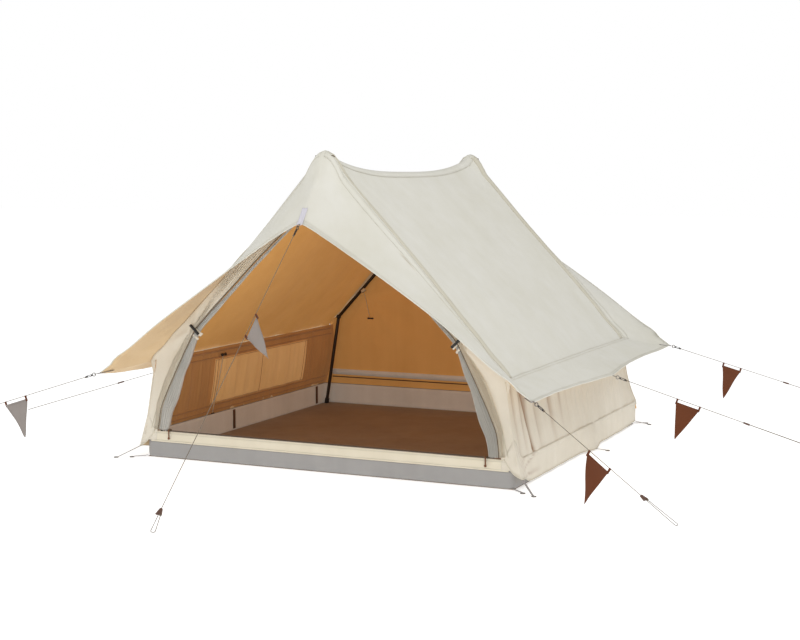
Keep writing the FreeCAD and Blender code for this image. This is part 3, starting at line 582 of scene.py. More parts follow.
def awning_point(side, end, reach, share):
    """A point of an awning: reach is 0 on the rafter and 1 at the free edge."""
    peak = Vector((0, end * FRAME_Y, PEAK_Z))
    tip = Vector((0, end * TIP_Y, TIP_Z))
    near = lerp(peak, seam_point(side, end), share)
    far = lerp(tip, wing_edge(side, end), share) + Vector((0, 0, AWNING_BOW * 4 * share * (1 - share)))
    sag = 0.016 * math.sin(math.pi * reach) * math.sin(math.pi * share)
    return canopy_relief(lerp(near, far, reach) - Vector((0, 0, sag)))


def wing_point(side, along, reach):
    """A point of an eave wing: reach is 0 at the seam and 1 at the free edge."""
    return canopy_relief(lerp(seam_point(side, along), wing_edge(side, along), reach))


def canopy_outward(point):
    return Vector((point.x * 0.6, 0, 1))


# %% canopy mesh
DOWN = [share ** 1.35 for share in steps(46)]
OUT = [reach ** 1.5 for reach in steps(14)]
ALONG = [math.sin(1.42 * t) / math.sin(1.42) for t in steps(105, -1, 1)]
canopy_grids = []
canopy_indexes = []
for side_name, side in SIDES:
    canopy_grids.append([[roof_point(side, t, s) for s in DOWN] for t in ALONG])
    canopy_indexes.append(0)
    canopy_grids.append([[wing_point(side, t, r) for r in OUT] for t in ALONG])
    canopy_indexes.append(1)
    for end_name, end in ENDS:
        canopy_grids.append([[awning_point(side, end, r, s) for s in DOWN] for r in OUT])
        canopy_indexes.append(1)
# The inside faces take painted light: warm and glowing under the roof, painted shade and glow under the wings
# and awnings.
canopy = cloth_piece(
    "canopy", canopy_grids, canopy_outward, 0.0022,
    [CANVAS, CANVAS, CANVAS_INSIDE_PAINTED_LIGHT, CANVAS_UNDERSIDE_SHADE_AND_GLOW, CANVAS, CANVAS], canopy_indexes, offsets=(2, 4))
finish_piece(canopy, "tent", "canvas", "roof_left", "roof_right", "eave_wing_left", "eave_wing_right",
             "front_awning", "rear_awning")

# %% [markdown]
# Tubes and ribbons are grids too: a ring of points carried along a path makes a piped edge or a
# knot, and a few points across a path make webbing. The path's own frame is carried along without
# twist, so that the grid never turns over.


# %% tube and ribbon helpers
def tube_rows(path, radius, sides=8):
    """Rings of points along a path, closed at both ends."""
    rows = [[path[0]] * (sides + 1)]
    up = None
    for i, centre in enumerate(path):
        way = (path[min(i + 1, len(path) - 1)] - path[max(i - 1, 0)]).normalized()
        if up is None:
            up = way.orthogonal().normalized()
        up = (up - way * up.dot(way)).normalized()
        other = way.cross(up)
        angles = [2 * math.pi * k / sides for k in range(sides)] + [0]
        rows.append([centre + (up * math.cos(a) + other * math.sin(a)) * radius for a in angles])
    rows.append([path[-1]] * (sides + 1))
    return rows


def closed_tube(name, paths, radius, finish, sides=8):
    """One mesh of one or more closed tubes."""
    mesh = bmesh.new()
    uv_layer = mesh.loops.layers.uv.new("cloth")
    for number, path in enumerate(paths):
        add_grid(mesh, uv_layer, tube_rows(path, radius, sides), 0, shift=number * 0.11)
    bmesh.ops.remove_doubles(mesh, verts=mesh.verts, dist=radius * 0.05)
    bmesh.ops.dissolve_degenerate(mesh, edges=mesh.edges, dist=0.00002)
    bmesh.ops.recalc_face_normals(mesh, faces=mesh.faces)
    return piece_from(name, mesh, [finish])


def ribbon_rows(path, across, width, columns=5, crown=0.0, lift=(0, 0, 1)):
    """Points across a path; across is one direction or one for each point of the path."""
    rows = []
    for i, centre in enumerate(path):
        side_way = across[i] if isinstance(across, list) else across
        side_way = Vector(side_way).normalized()
        row = []
        for share in steps(columns):
            raised = Vector(lift) * crown * (1 - (2 * share - 1) ** 2)
            row.append(centre + side_way * width * (share - 0.5) + raised)
        rows.append(row)
    return rows


def polyline(points, count, passes=0):
    """Evenly spaced points along a line through points, its corners softened by averaging."""
    points = [Vector(p) for p in points]
    lengths = [0.0]
    for first, second in zip(points, points[1:]):
        lengths.append(lengths[-1] + (second - first).length)
    result = []
    for distance in steps(count, 0, lengths[-1]):
        index = max(i for i in range(len(points) - 1) if lengths[i] <= distance + 1e-9)
        share = (distance - lengths[index]) / (lengths[index + 1] - lengths[index])
        result.append(points[index].lerp(points[index + 1], min(1.0, share)))
    for _ in range(passes):
        inner = [(a + b * 2 + c) / 4 for a, b, c in zip(result, result[1:], result[2:])]
        result = [result[0]] + inner + [result[-1]]
    return result


# %% [markdown]
# A guy line is a braided cord 3 mm thick. It leaves its clip, runs straight through its pennant
# and its slider to the ground, turns round the peg's place and comes back to the slider, where it
# ends in a knot. It is a curve through the CAD route's corners, with one more point ahead of each
# corner so that the long runs stay straight.


# %% braided cord finish
def build_cord_material():
    material, tree, shader = new_material("guy_cord", srgb(116, 104, 88))
    where = tree.nodes.new("ShaderNodeTexCoord")
    heights = []
    for sign in (1, -1):
        wave = tree.nodes.new("ShaderNodeTexWave")
        wave.bands_direction = "DIAGONAL"
        wave.inputs["Scale"].default_value = 1.0
        tree.links.new(stretched(tree, where.outputs["UV"], (260.0, sign * 2.0, 1.0)), wave.inputs["Vector"])
        heights.append(wave.outputs["Fac"])
    braid = math_node(tree, "MAXIMUM", heights[0], heights[1])
    grime = noise_texture(tree, where.outputs["Object"], 14.0)
    share = math_node(tree, "MULTIPLY", braid, 0.5)
    share = math_node(tree, "ADD", share, math_node(tree, "MULTIPLY", grime.outputs["Fac"], 0.4))
    color = color_mix(tree, share, srgb(88, 78, 64), srgb(134, 122, 104))
    tree.links.new(color, shader.inputs["Base Color"])
    shader.inputs["Roughness"].default_value = 0.78
    bump(tree, shader, braid, 0.7, 0.0004)
    return material


CORD_CLOTH = build_cord_material()
print("cord finish ready")

# %% guy line data
GUY_REACH = 0.026         # edge of the canopy to the centre of a ring
HOOK_START = 0.0105
HOOK_LENGTH = 0.034
LOOP_WIDTH = 0.024        # of the loop that goes round a peg
RETURN_OFFSET = 0.011     # between the two runs at the slider
SLIDER_LENGTH = 0.030
CORNER_AHEAD = 0.018      # a point this far ahead of each corner keeps a long run straight
FLAG_WIDTH = 0.130
FLAG_DEPTH = 0.185
FLAG_DROP = 0.016         # line to the pennant's upper edge
CORNER_REACH = GUY_REACH * 0.7
ANCHORS = {
    "front": Vector((0, -TIP_Y - GUY_REACH, TIP_Z - GUY_REACH)),
    "rear": Vector((0, TIP_Y + GUY_REACH, TIP_Z - GUY_REACH)),
    "middle_right": Vector((WING_X + 0.008 + GUY_REACH, 0, WING_Z - 0.039)),
    "middle_left": Vector((-WING_X - 0.008 - GUY_REACH, 0, WING_Z - 0.039)),
}
for side_name, side in SIDES:
    for end_name, end in ENDS:
        corner = Vector((side * (WING_X + CORNER_REACH), end * (WING_Y + CORNER_REACH), WING_Z - 0.009))
        ANCHORS[end_name + "_" + side_name] = corner
# name, place on the ground, start of the pennant and of the slider along the line, length
GUY_LINES = [
    ("front", Vector((-0.060, -2.370, 0.003)), 0.515, 1.545, 1.707),
    ("front_right", Vector((1.845, -1.385, 0.003)), 0.322, 0.625, 0.955),
    ("middle_right", Vector((2.240, 0.415, 0.003)), 0.320, 0.680, 1.659),
    ("rear_right", Vector((2.150, 2.100, 0.003)), 0.347, 0.780, 1.951),
    ("front_left", Vector((-2.520, -1.400, 0.003)), 0.405, 1.000, 1.797),
    ("middle_left", Vector((-2.510, -0.026, 0.003)), None, 0.670, 2.033),
]


def line_directions(anchor, ground):
    """Along the line, level across it, and upwards square to both."""
    way = (ground - anchor).normalized()
    across = Vector((0, 0, 1)).cross(way).normalized()
    return way, across, way.cross(across)


GROUND = {name: ground for name, ground, *others in GUY_LINES}
print(len(ANCHORS), "anchors")


# %% guy lines
def trefoil(centre, way, across, up, size):
    """A closed path like a pulled-tight overhand knot."""
    path = []
    for k in range(37):
        t = 2 * math.pi * k / 36
        a = (math.sin(t) + 2 * math.sin(2 * t)) * size * 0.42
        b = (math.cos(t) - 2 * math.cos(2 * t)) * size * 0.42
        c = -math.sin(3 * t) * size * 0.55
        path.append(centre + across * a + up * b + way * c)
    return path


for name, ground, flag_at, slider_at, length in GUY_LINES:
    anchor = ANCHORS[name]
    way, across, up = line_directions(anchor, ground)
    start = anchor + way * (HOOK_START + HOOK_LENGTH + 0.0003)
    turn_back = ground + across * LOOP_WIDTH
    end_knot = anchor + way * (slider_at + SLIDER_LENGTH + 0.002) + across * RETURN_OFFSET
    back = (end_knot - turn_back).normalized()
    route = [start, ground - way * CORNER_AHEAD, ground, turn_back, turn_back + back * CORNER_AHEAD, end_knot]
    curve = bpy.data.curves.new("cord_" + name, "CURVE")
    curve.dimensions = "3D"
    spline = curve.splines.new("NURBS")
    spline.points.add(len(route) - 1)
    for point, place in zip(spline.points, route):
        point.co = (*place, 1)
    spline.order_u = 3
    spline.use_endpoint_u = True
    spline.resolution_u = 8
    curve.bevel_depth = CORD / 2
    curve.bevel_resolution = 2
    curve.use_fill_caps = True
    curve.materials.append(CORD_CLOTH)
    line = bpy.data.objects.new("cord_" + name, curve)
    bpy.context.scene.collection.objects.link(line)
    finish_piece(line, "tent", "guy_cord", "guy_line_" + name)
    knots = closed_tube("knots_" + name, [trefoil(start + way * 0.004, way, across, up, 0.0032),
                                          trefoil(end_knot - way * 0.001, way, across, up, 0.0036)],
                        0.0014, CORD_CLOTH, 6)
    finish_piece(knots, "tent", "guy_cord")
print(len(GUY_LINES), "guy lines")

# %% [markdown]
# The edge of the canopy is piped all round: a thin roll of cloth along both awnings and both eave
# wings. The bands over the rafters, the tape along the ridge and the seam at the eaves are narrow
# strips that follow the canopy's own surface, a millimetre or two above it.


# %% edge piping
def lifted(point, amount):
    """A point of the canopy moved off its surface."""
    sideways = math.copysign(0.62, point.x) if abs(point.x) > 0.02 else 0
    return point + Vector((sideways, 0, 0.78)) * amount


def canopy_edge():
    """The free edge, once round the canopy from the front tip."""
    right_front = [awning_point(1, -1, 1, s) for s in steps(40)]
    right = [wing_point(1, t, 1) for t in steps(80, -1, 1)]
    right_rear = [awning_point(1, 1, 1, s) for s in steps(40, 1, 0)]
    left_rear = [awning_point(-1, 1, 1, s) for s in steps(40)]
    left = [wing_point(-1, t, 1) for t in steps(80, 1, -1)]
    left_front = [awning_point(-1, -1, 1, s) for s in steps(40, 1, 0)]
    return right_front + right[1:] + right_rear[1:] + left_rear[1:] + left[1:] + left_front[1:]


trim = []
edge_piping = closed_tube("canopy_piping", [canopy_edge()], 0.0026, CANVAS)
finish_piece(edge_piping, "tent", "canvas")
trim.append(edge_piping)
print("piped edge with", len(edge_piping.data.polygons), "faces")

# %% bands over the rafters and tape along the ridge
BAND_GAP = 0.004
BAND_REACH = 0.045
BAND_EDGES = (0.04, 0.96)


def sleeve_point(side, end, across, share, lift):
    """A point of a rafter band: across is 0 beside the rafter and 1 at the band's far edge."""
    along = end * (1 - (BAND_GAP + BAND_REACH * across) / FRAME_Y)
    return lifted(roof_point(side, along, share), lift)


band_grids = []
stitch_paths = []
for side_name, side in SIDES:
    for end_name, end in ENDS:
        band_grids.append([[sleeve_point(side, end, k, s, 0.0012) for k in steps(5)]
                           for s in steps(60, 0.012, 0.997)])
        band_grids.append([[lifted(awning_point(side, end, 0.010 + 0.130 * k, s), 0.0005)
                            for k in steps(4)] for s in steps(60, 0.012, 0.997)])
        band_seam = steps(60, 0.014, 0.98)
        stitch_paths.append([lifted(awning_point(side, end, 0.138, s), 0.0010) for s in band_seam])
        for k in BAND_EDGES:
            stitch_paths.append([sleeve_point(side, end, k, s, 0.0016) for s in band_seam])
sleeves = cloth_piece("rafter_bands", band_grids, canopy_outward, 0.0012, [SLEEVE_CLOTH, CANVAS],
                      [0, 1] * 4, offsets=(0, 0))
finish_piece(sleeves, "tent", "canvas", "sleeve_bands")
trim.append(sleeves)

RIDGE_TAPE_REACH = 0.036
TAPE_COLUMNS = ((-1, 1), (-1, 0.5), (1, 0), (1, 0.5), (1, 1))
tape_rows = [[lifted(roof_point(side, t, RIDGE_TAPE_REACH * k), 0.0022) for side, k in TAPE_COLUMNS]
             for t in steps(70, -0.997, 0.997)]
ridge_tape = cloth_piece("ridge_tape", [tape_rows], canopy_outward, 0.0012, [CANVAS], offsets=(0, 0))
finish_piece(ridge_tape, "tent", "canvas", "ridge_binding")
trim.append(ridge_tape)
print("rafter bands", len(band_grids))

# %% stitching
for side_name, side in SIDES:
    for s in (0.0355, 0.9965):
        stitch_paths.append([lifted(roof_point(side, t, s), 0.0026) for t in steps(90, -0.99, 0.99)])
    stitch_paths.append([lifted(wing_point(side, t, 0.055), 0.0008) for t in steps(90, -0.995, 0.995)])
    stitch_paths.append([lifted(wing_point(side, t, 0.93), 0.0006) for t in steps(90, -0.98, 0.98)])
    for end_name, end in ENDS:
        for reach, first in ((0.95, 0.01), (0.035, 0.02)):
            seam = [lifted(awning_point(side, end, reach, s), 0.0006) for s in steps(60, first, 0.985)]
            stitch_paths.append(seam)
seams = closed_tube("canopy_stitching", stitch_paths, 0.0007, STITCH_CLOTH, 4)
finish_piece(seams, "tent", "canvas")
trim.append(seams)
print("seams", len(stitch_paths))

# %% [markdown]
# Each peak has a small vent slit on both sides of the ridge tape. It starts on the roof and ends
# on the awning, so its path is worked out on whichever of the two surfaces it crosses.

# %% vent slits
slit_paths = []
for side_name, side in SIDES:
    for end_name, end in ENDS:
        start = Vector((side * 0.050, end * (FRAME_Y - 0.002), 0))
        low = Vector((side * 0.040, end * (FRAME_Y + 0.014), 0))
        path = []
        for k in steps(8):
            place = lerp(start, low, k)
            share = abs(place.x) / SEAM_X
            if abs(place.y) < FRAME_Y:
                path.append(lifted(roof_point(side, place.y / FRAME_Y, share), 0.0022))
            else:
                reach = (abs(place.y) - FRAME_Y) / (TIP_Y - FRAME_Y)
                path.append(lifted(awning_point(side, end, reach, share), 0.0022))
        slit_paths.append(path)
# Painted shade: the slit's dark opening is drawn as a dark tube in the zip tape's colour.
vent_slits = closed_tube("vent_slits", slit_paths, 0.0022, ZIP_CLOTH, 6)
finish_piece(vent_slits, "tent", "canvas")
trim.append(vent_slits)
print(len(trim), "pieces of trim")

# %% [markdown]
# Every point where a line pulls on the canopy has a webbing tab sewn to it, and a cord loop joins
# the tab to its ring. The tabs at the canopy's edge are grey; those at the awnings' tips are pale
# and lie on top of the awning.


# %% pulling points
def tab_place(name):
    """The canopy's point that a tab is sewn to."""
    if name in ("front", "rear"):
        end = -1 if name == "front" else 1
        return awning_point(1, end, 1, 0.0)
    end_name, side_name = name.split("_")
    return wing_point({"left": -1, "right": 1}[side_name], {"front": -1, "rear": 1, "middle": 0}[end_name], 1)


def racetrack(centre, way, across, half_length, half_width):
    """A closed loop, longer along the way than across it."""
    path = []
    for angle in steps(29, 0, 2 * math.pi):
        path.append(centre + way * math.cos(angle) * half_length + across * math.sin(angle) * half_width)
    return path


tab_grids = []
tip_grids = []
loop_paths = []
for name, anchor in ANCHORS.items():
    ground = GROUND.get(name, anchor + Vector((anchor.x, anchor.y, -0.6 * anchor.z)))
    way, across, up = line_directions(anchor, ground)
    sewn = tab_place(name)
    fold = anchor - way * 0.021
    if "_" in name:
        inner = Vector((sewn.x * 0.955, sewn.y * 0.96, sewn.z + 0.013))
        path = polyline([inner - Vector((0, 0, 0.004)), sewn - Vector((0, 0, 0.003)), fold], 16, 1)
        tab_grids.append(ribbon_rows(path, across, 0.024, 5, 0.001, up))
    else:
        inner = awning_point(1, math.copysign(1, sewn.y), 0.80, 0.0)
        path = polyline([inner + Vector((0, 0, 0.006)), sewn + Vector((0, 0, 0.004)), fold], 16, 1)
        tip_grids.append(ribbon_rows(path, across, 0.028, 7, -0.003, (0, 0, 1)))
    loop_paths.append(racetrack(anchor - way * 0.0135, way, across, 0.0100, 0.0042))
tabs = cloth_piece("pull_tabs", tab_grids + tip_grids, upward, 0.0018, [WEBBING, PALE_WEBBING],
                   [0] * len(tab_grids) + [1] * len(tip_grids), offsets=(0, 0))
finish_piece(tabs, "tent", "webbing", "guy_tabs")
ring_loops = closed_tube("ring_loops", loop_paths, 0.0013, CORD_CLOTH, 6)
finish_piece(ring_loops, "tent", "webbing")
trim += [tabs, ring_loops]
print(len(tab_grids) + len(tip_grids), "pulling points")

# %% [markdown]
# The side walls hang from the eave seam to the top of the groundsheet's edge. Cotton that is sewn
# a little full falls into upright gathers, so the wall's grid is moved in and out by noise that
# changes along the wall and hardly at all down it.


# %% side walls
WALL_TOP_X = 0.9465
WALL_TOP_Z = 0.4985
CREASE_TOP = 0.823        # a deep crease runs down the wall behind each front corner
CREASE_FOOT = 0.735
WALL_BOTTOM = 0.116       # walls and gables reach down outside the groundsheet's edge


def gable_depth(height):
    """Distance of a gable from the middle; it leans in a little towards the peak."""
    lean = 0.035 * (height - WALL_FOOT_Z) / (PEAK_Z - WALL_FOOT_Z)
    return FLOOR_HALF - 0.002 - lean + 0.0050 * ease((0.175 - height) / 0.03)


def wall_x(height):
    share = (WALL_TOP_Z - height) / (WALL_TOP_Z - WALL_FOOT_Z)
    return WALL_TOP_X + (WALL_FOOT_X + 0.0005 - WALL_TOP_X) * share


def rear_inset(height):
    """How far the wall is drawn in at its rear edge."""
    share = (WALL_TOP_Z - height) / (WALL_TOP_Z - WALL_FOOT_Z)
    return 0.028 * math.sin(math.pi * min(1, max(0, share)))


def wall_pleat(side, along, down):
    """1 in the depth of a pleat under the eave; the pleats are in the front half of the wall."""
    phase = along * 8.6 + 0.9 * ruffle(along * 2.1, 2.0, side) - 0.25 * down
    return (1 - abs(math.sin(math.pi * phase))) * ease((0.1 - along) / 0.5)


def wall_crease(along, down):
    """1 in the depth of the crease."""
    off_crease = along + CREASE_TOP + (CREASE_FOOT - CREASE_TOP) * down
    return math.exp(-(off_crease / (0.014 + 0.014 * (1 - down))) ** 2) * ease((1 - down) / 0.1)


def shade_folds(piece, side):
    """Store how deep in a fold each vertex of a wall lies, as painted shade that darkens its material's
    colour there.
    """
    attribute = piece.data.attributes.new("fold", "FLOAT", "POINT")
    for vertex in piece.data.vertices:
        along = vertex.co.y / FLOOR_HALF
        down = min(1, max(0, (WALL_TOP_Z - vertex.co.z) / (WALL_TOP_Z - WALL_BOTTOM)))
        pleat = 0.85 * wall_pleat(side, along, down) ** 2 * (1 - down)
        attribute.data[vertex.index].value = min(1.0, 0.95 * wall_crease(along, down) + pleat)


def shade_fan(piece):
    """The same painted shade for a skirt, along lines that fan out from the peg at its front corner."""
    attribute = piece.data.attributes.new("fold", "FLOAT", "POINT")
    for vertex in piece.data.vertices:
        behind = vertex.co.y + FLOOR_HALF
        turn = math.atan2(vertex.co.z - 0.05, abs(behind) + 0.02)
        fan = (1 - abs(math.sin(turn * 11))) ** 3 * ease(behind / 0.05) * ease((0.34 - behind) / 0.12)
        attribute.data[vertex.index].value = 0.45 * max(0.0, fan)


def wall_point(side, along, down, inward=0.0):
    """A point of a side wall: down is 0 at the eave seam and 1 at the groundsheet's edge."""
    height = WALL_TOP_Z + (WALL_BOTTOM - WALL_TOP_Z) * down
    y = along * gable_depth(height)
    hold = ease((1 - abs(along)) / 0.05)
    belly = math.sin(math.pi * down)
    gather = 0.0052 * ruffle(along * 15, 3.3, side * 5 + down * 0.7)
    gather += 0.0026 * ruffle(along * 41, 8.1, side + down)
    gather -= 0.014 * wall_pleat(side, along, down) ** 4 * (1 - 0.9 * down)
    gather -= 0.016 * wall_crease(along, down)
    move = (gather * (0.45 + 0.55 * belly) - 0.006 * belly) * hold
    if down > 0.995:
        move *= 0.3
    move -= rear_inset(height) * ease((along - 0.72) / 0.28)
    return Vector((side * (wall_x(height) + move - inward), y, height))


walls = {}
for side_name, side in SIDES:
    rows = [[wall_point(side, t, d) for t in steps(301, -1, 1)] for d in steps(22)]
    # Inside, the side walls take painted shade and a glow.
    wall = cloth_piece("wall_" + side_name, [rows], toward_side, 0.0018, [WALL_CANVAS, SIDE_INSIDE_SHADE_AND_GLOW],
                       offsets=(1, 0))
    shade_folds(wall, side)
    finish_piece(wall, "tent", "canvas", "side_wall_" + side_name)
    walls[side_name] = (wall, cloth_area([rows]))
print("side walls", round(walls["right"][1], 2), "square metres each")

# %% [markdown]
# A gable panel runs from the underside of the awning down to the groundsheet. In front it leaves
# the doorway open; the two halves meet above it. Behind, one panel closes the whole frame.


# %% gable shape
DOOR_EDGE = [(0.006, DOOR_TOP), (0.370, 1.015), (0.715, 0.672), (0.800, 0.510),
             (0.868, 0.375), (0.920, 0.255), (0.934, 0.145), (0.936, 0.088)]
TOGGLE_X = 0.708
TOGGLE_Z = 0.664


def gable_outer(side, end, count):
    """The sewn edge: along the awning's underside, then down the corner of the side wall."""
    edge = []
    for share in steps(count, 0.0, 0.985):
        height = PEAK_Z + (SEAM_Z - PEAK_Z) * share - 0.035
        reach = (gable_depth(height) - FRAME_Y) / (TIP_Y - FRAME_Y)
        edge.append(awning_point(side, end, reach, share) - Vector((side * 0.002, 0, 0.004)))
    for height in (0.42, 0.34, 0.26, 0.18, 0.15, WALL_BOTTOM, 0.090):
        x = wall_x(height) - (rear_inset(height) if end > 0 else 0)
        edge.append(Vector((side * x, end * gable_depth(height), height)))
    return edge


def gable_fold(point, side, end):
    """Soft folds that run to the toggle, and a slight slackness in the middle of the cloth."""
    away_x = abs(point.x) - TOGGLE_X
    away_z = point.z - TOGGLE_Z
    distance = math.hypot(away_x, away_z)
    angle = math.atan2(away_z, away_x)
    push = 0.0055 * math.sin(angle * 9 + side) * ease(distance / 0.08) * ease(1 - distance / 0.62)
    push += 0.0045 * ruffle(point.x * 5, point.z * 3, end * 4 + side)
    return point + Vector((0, end * push, 0))


# %% gables
for side_name, side in SIDES:
    outer = polyline(gable_outer(side, -1, 30), 64)
    inner = polyline([(side * x, -gable_depth(z), z) for x, z in DOOR_EDGE], 64, 2)
    rows = []
    for i, (a, b) in enumerate(zip(outer, inner)):
        row = []
        for k in steps(13):
            place = lerp(a, b, k)
            free = ease(k / 0.15) * ease(i / 4)
            row.append(place.lerp(gable_fold(place, side, -1), free))
        rows.append(row)
    rows[0] = [Vector((0, p.y, p.z)) for p in rows[0]]
    panel = cloth_piece("gable_front_" + side_name, [rows], toward_y(-1), 0.0018,
                        [WALL_CANVAS, WALL_INSIDE_PAINTED_LIGHT], offsets=(1, 0))
    finish_piece(panel, "tent", "canvas", "front_gable")

left = polyline(gable_outer(-1, 1, 30), 60)
right = polyline(gable_outer(1, 1, 30), 60)
rows = []
for i, (a, b) in enumerate(zip(left, right)):
    rows.append([lerp(a, b, k).lerp(gable_fold(lerp(a, b, k), 1, 1), ease(k / 0.04) * ease((1 - k) / 0.04))
                 for k in steps(81)])
rear_panel = cloth_piece("gable_rear", [rows], toward_y(1), 0.0018, [WALL_CANVAS, WALL_INSIDE_PAINTED_LIGHT],
                         offsets=(1, 0))
finish_piece(rear_panel, "tent", "canvas", "rear_gable")
REAR_BANDS = ((0.218, 0.184), (0.172, 0.166))
REAR_BAND_X = steps(41, -0.95, 0.95)
rear_grids = []
for band in REAR_BANDS:
    rear_grids.append([[Vector((x, gable_depth(z) - 0.0065, z)) for x in REAR_BAND_X] for z in band])
rear_bands = cloth_piece("rear_bands", rear_grids, toward_y(-1), 0.0012, [TUB_CLOTH, STRAP_CLOTH],
                         [0, 1], offsets=(0, 0))
finish_piece(rear_bands, "tent", "webbing")

# %% [markdown]
# The groundsheet is a tray: a brown floor that lies on the ground with shallow wrinkles, and an
# edge that stands up all round, with rounded corners. The edge is grey outside and pale inside.
# In front it is lower, and a cream strip of canvas with the door's zip is sewn on top of it.

# %% floor of the groundsheet
WRINKLE = 0.0045


def floor_point(x, y):
    """A point of the floor, raised by shallow wrinkles that die out towards its edge."""
    edge = ease((FLOOR_HALF - max(abs(x), abs(y))) / 0.06)
    rise = 0.5 + 0.5 * ruffle(x * 2.1, y * 2.1, 1.0)
    crease = 1 - abs(ruffle(x * 1.4 + 5, y * 2.6, 4.0))
    fine = ruffle(x * 7, y * 7, 2.0)
    height = max(0.0, WRINKLE * (0.9 * rise + 0.8 * max(0, crease - 0.55) * 2 + 0.22 * fine)) * edge
    return Vector((x, y, 0.0032 + height))


FLOOR_STEPS = steps(131, -FLOOR_HALF + 0.004, FLOOR_HALF - 0.004)
floor_rows = [[floor_point(x, y) for x in FLOOR_STEPS] for y in FLOOR_STEPS]
floor_sheet = cloth_piece("groundsheet", [floor_rows], upward, 0.0020, [FLOOR_CLOTH], offsets=(0, 0))
finish_piece(floor_sheet, "tent", "groundsheet", "groundsheet_floor")
print("floor with", len(floor_sheet.data.polygons), "faces")

# %% edge of the groundsheet
TUB_RADIUS = 0.028
TUB_COLUMNS = 641
TUB_FOOT = 0.0006


def tub_outline(count):
    """The edge of the tray seen from above, once round from the middle of the front."""
    half = FLOOR_HALF - TUB_RADIUS
    outline = [Vector((0, -FLOOR_HALF, 0))]
    for turn, (cx, cy) in enumerate(((half, -half), (half, half), (-half, half), (-half, -half))):
        for share in steps(9):
            angle = math.radians(-90 + 90 * (turn + share))
            outline.append(Vector((cx + TUB_RADIUS * math.cos(angle), cy + TUB_RADIUS * math.sin(angle), 0)))
    outline.append(Vector((0, -FLOOR_HALF, 0)))
    return polyline(outline, count)


def tub_rim(place):
    """Height of the tray's edge: low in front, and higher from the front corners on."""
    return SILL_HEIGHT + (TUB_HEIGHT - SILL_HEIGHT) * ease((place.y + FLOOR_HALF - 0.003) / 0.024)


tub_rows = []
outline = tub_outline(TUB_COLUMNS)
for level in steps(9):
    row = []
    for place in outline:
        outward = Vector(((place.x / FLOOR_HALF) ** 5, (place.y / FLOOR_HALF) ** 5, 0))
        outward = outward.normalized() if outward.length > 0 else Vector((0, -1, 0))
        bulge = 0.0028 * math.sin(math.pi * level) * ruffle(place.x * 9 + level, place.y * 9, 3.0)
        foot = -0.006 * (1 - ease(level / 0.16))
        height = TUB_FOOT + (tub_rim(place) - TUB_FOOT) * level
        row.append(Vector((place.x, place.y, height)) + outward * (bulge + foot - 0.0005))
    tub_rows.append(row)
tub = cloth_piece("groundsheet_edge", [tub_rows], lambda p: Vector((p.x, p.y, 0)), 0.0020,
                  [SILL_CLOTH, TUB_CLOTH], offsets=(1, 0))
finish_piece(tub, "tent", "tub_fabric", "tub_walls", "front_sill")
rim = []
for place in outline:
    rim.append(place + Vector((0, 0, tub_rim(place))) - Vector((place.x, place.y, 0)) * 0.0012)
rim_tape = closed_tube("groundsheet_rim", [rim], 0.0022, SILL_CLOTH, 6)
finish_piece(rim_tape, "tent", "tub_fabric")
print("tray edge", round((outline[1] - outline[0]).length * (TUB_COLUMNS - 1), 2), "metres round")

# %% sill strip
STRIP_HALF = 0.972
STRIP_LOW = SILL_HEIGHT - 0.004
STRIP_WIDTH = 0.0555
strip_rows = []
for level in steps(7):
    row = []
    for x in steps(181, -STRIP_HALF, STRIP_HALF):
        sway = 0.0022 * ruffle(x * 8, level * 0.6, 6.0) * math.sin(math.pi * (0.2 + 0.8 * level))
        row.append(Vector((x, -FLOOR_HALF - 0.0022 + sway * (1 - level), STRIP_LOW + STRIP_WIDTH * level)))
    strip_rows.append(row)
strip = cloth_piece("sill_canvas", [strip_rows], toward_y(-1), 0.0016, [STRIP_CLOTH], offsets=(0, 0))
finish_piece(strip, "tent", "canvas", "sill_strip")
strip_seams = []
for z in (SILL_HEIGHT + 0.004, STRIP_TOP - 0.011):
    strip_seams.append([Vector((x, -FLOOR_HALF - 0.0032, z)) for x in steps(60, -0.965, 0.965)])
strip_stitch = closed_tube("sill_stitching", strip_seams, 0.0009, SLEEVE_CLOTH, 4)
finish_piece(strip_stitch, "tent", "canvas")
print("sill strip", 2 * STRIP_HALF, "metres long")

# %% [markdown]
# A skirt hides each side of the groundsheet's edge. It is sewn on along the foot of the wall,
# flares out to the ground and is pulled towards the pegs at its corners, where a three-cornered
# flap turns round to the front and the back. Its hem is piped.


# %% skirts
HEM_X = 1.012
MIDDLE_PEG_Y = 0.120


def hem_point(side, along):
    """The hem hangs just above the ground; pegs pull it out in the middle and at its front corner."""
    front = ease((-along - 0.78) / 0.22)
    rear = ease((along - 0.70) / 0.30)
    peg = math.exp(-((along * FLOOR_HALF - MIDDLE_PEG_Y) / 0.11) ** 2)
    x = HEM_X + 0.028 * front - 0.009 * rear + 0.030 * peg
    z = 0.012 + 0.042 * front + 0.006 * rear - 0.005 * peg
    return Vector((side * x, along * (FLOOR_HALF + 0.004), z))


def skirt_point(side, along, down):
    """A point of a skirt: down is 0 at the wall's foot and 1 at the hem."""
    height = WALL_FOOT_Z - 0.001 + 0.095 * ease((-along - 0.90) / 0.10)
    top = Vector((side * (wall_x(height) + 0.0020), along * (gable_depth(height) + 0.001), height))
    flat = lerp(top, hem_point(side, along), down)
    wave = 0.0036 * ruffle(along * 11, down * 1.2, side * 3) + 0.0018 * ruffle(along * 30, down, side)
    return flat + Vector((side * 0.95, 0, 0.3)) * wave * ease(down / 0.3) * ease((1 - abs(along)) / 0.03)


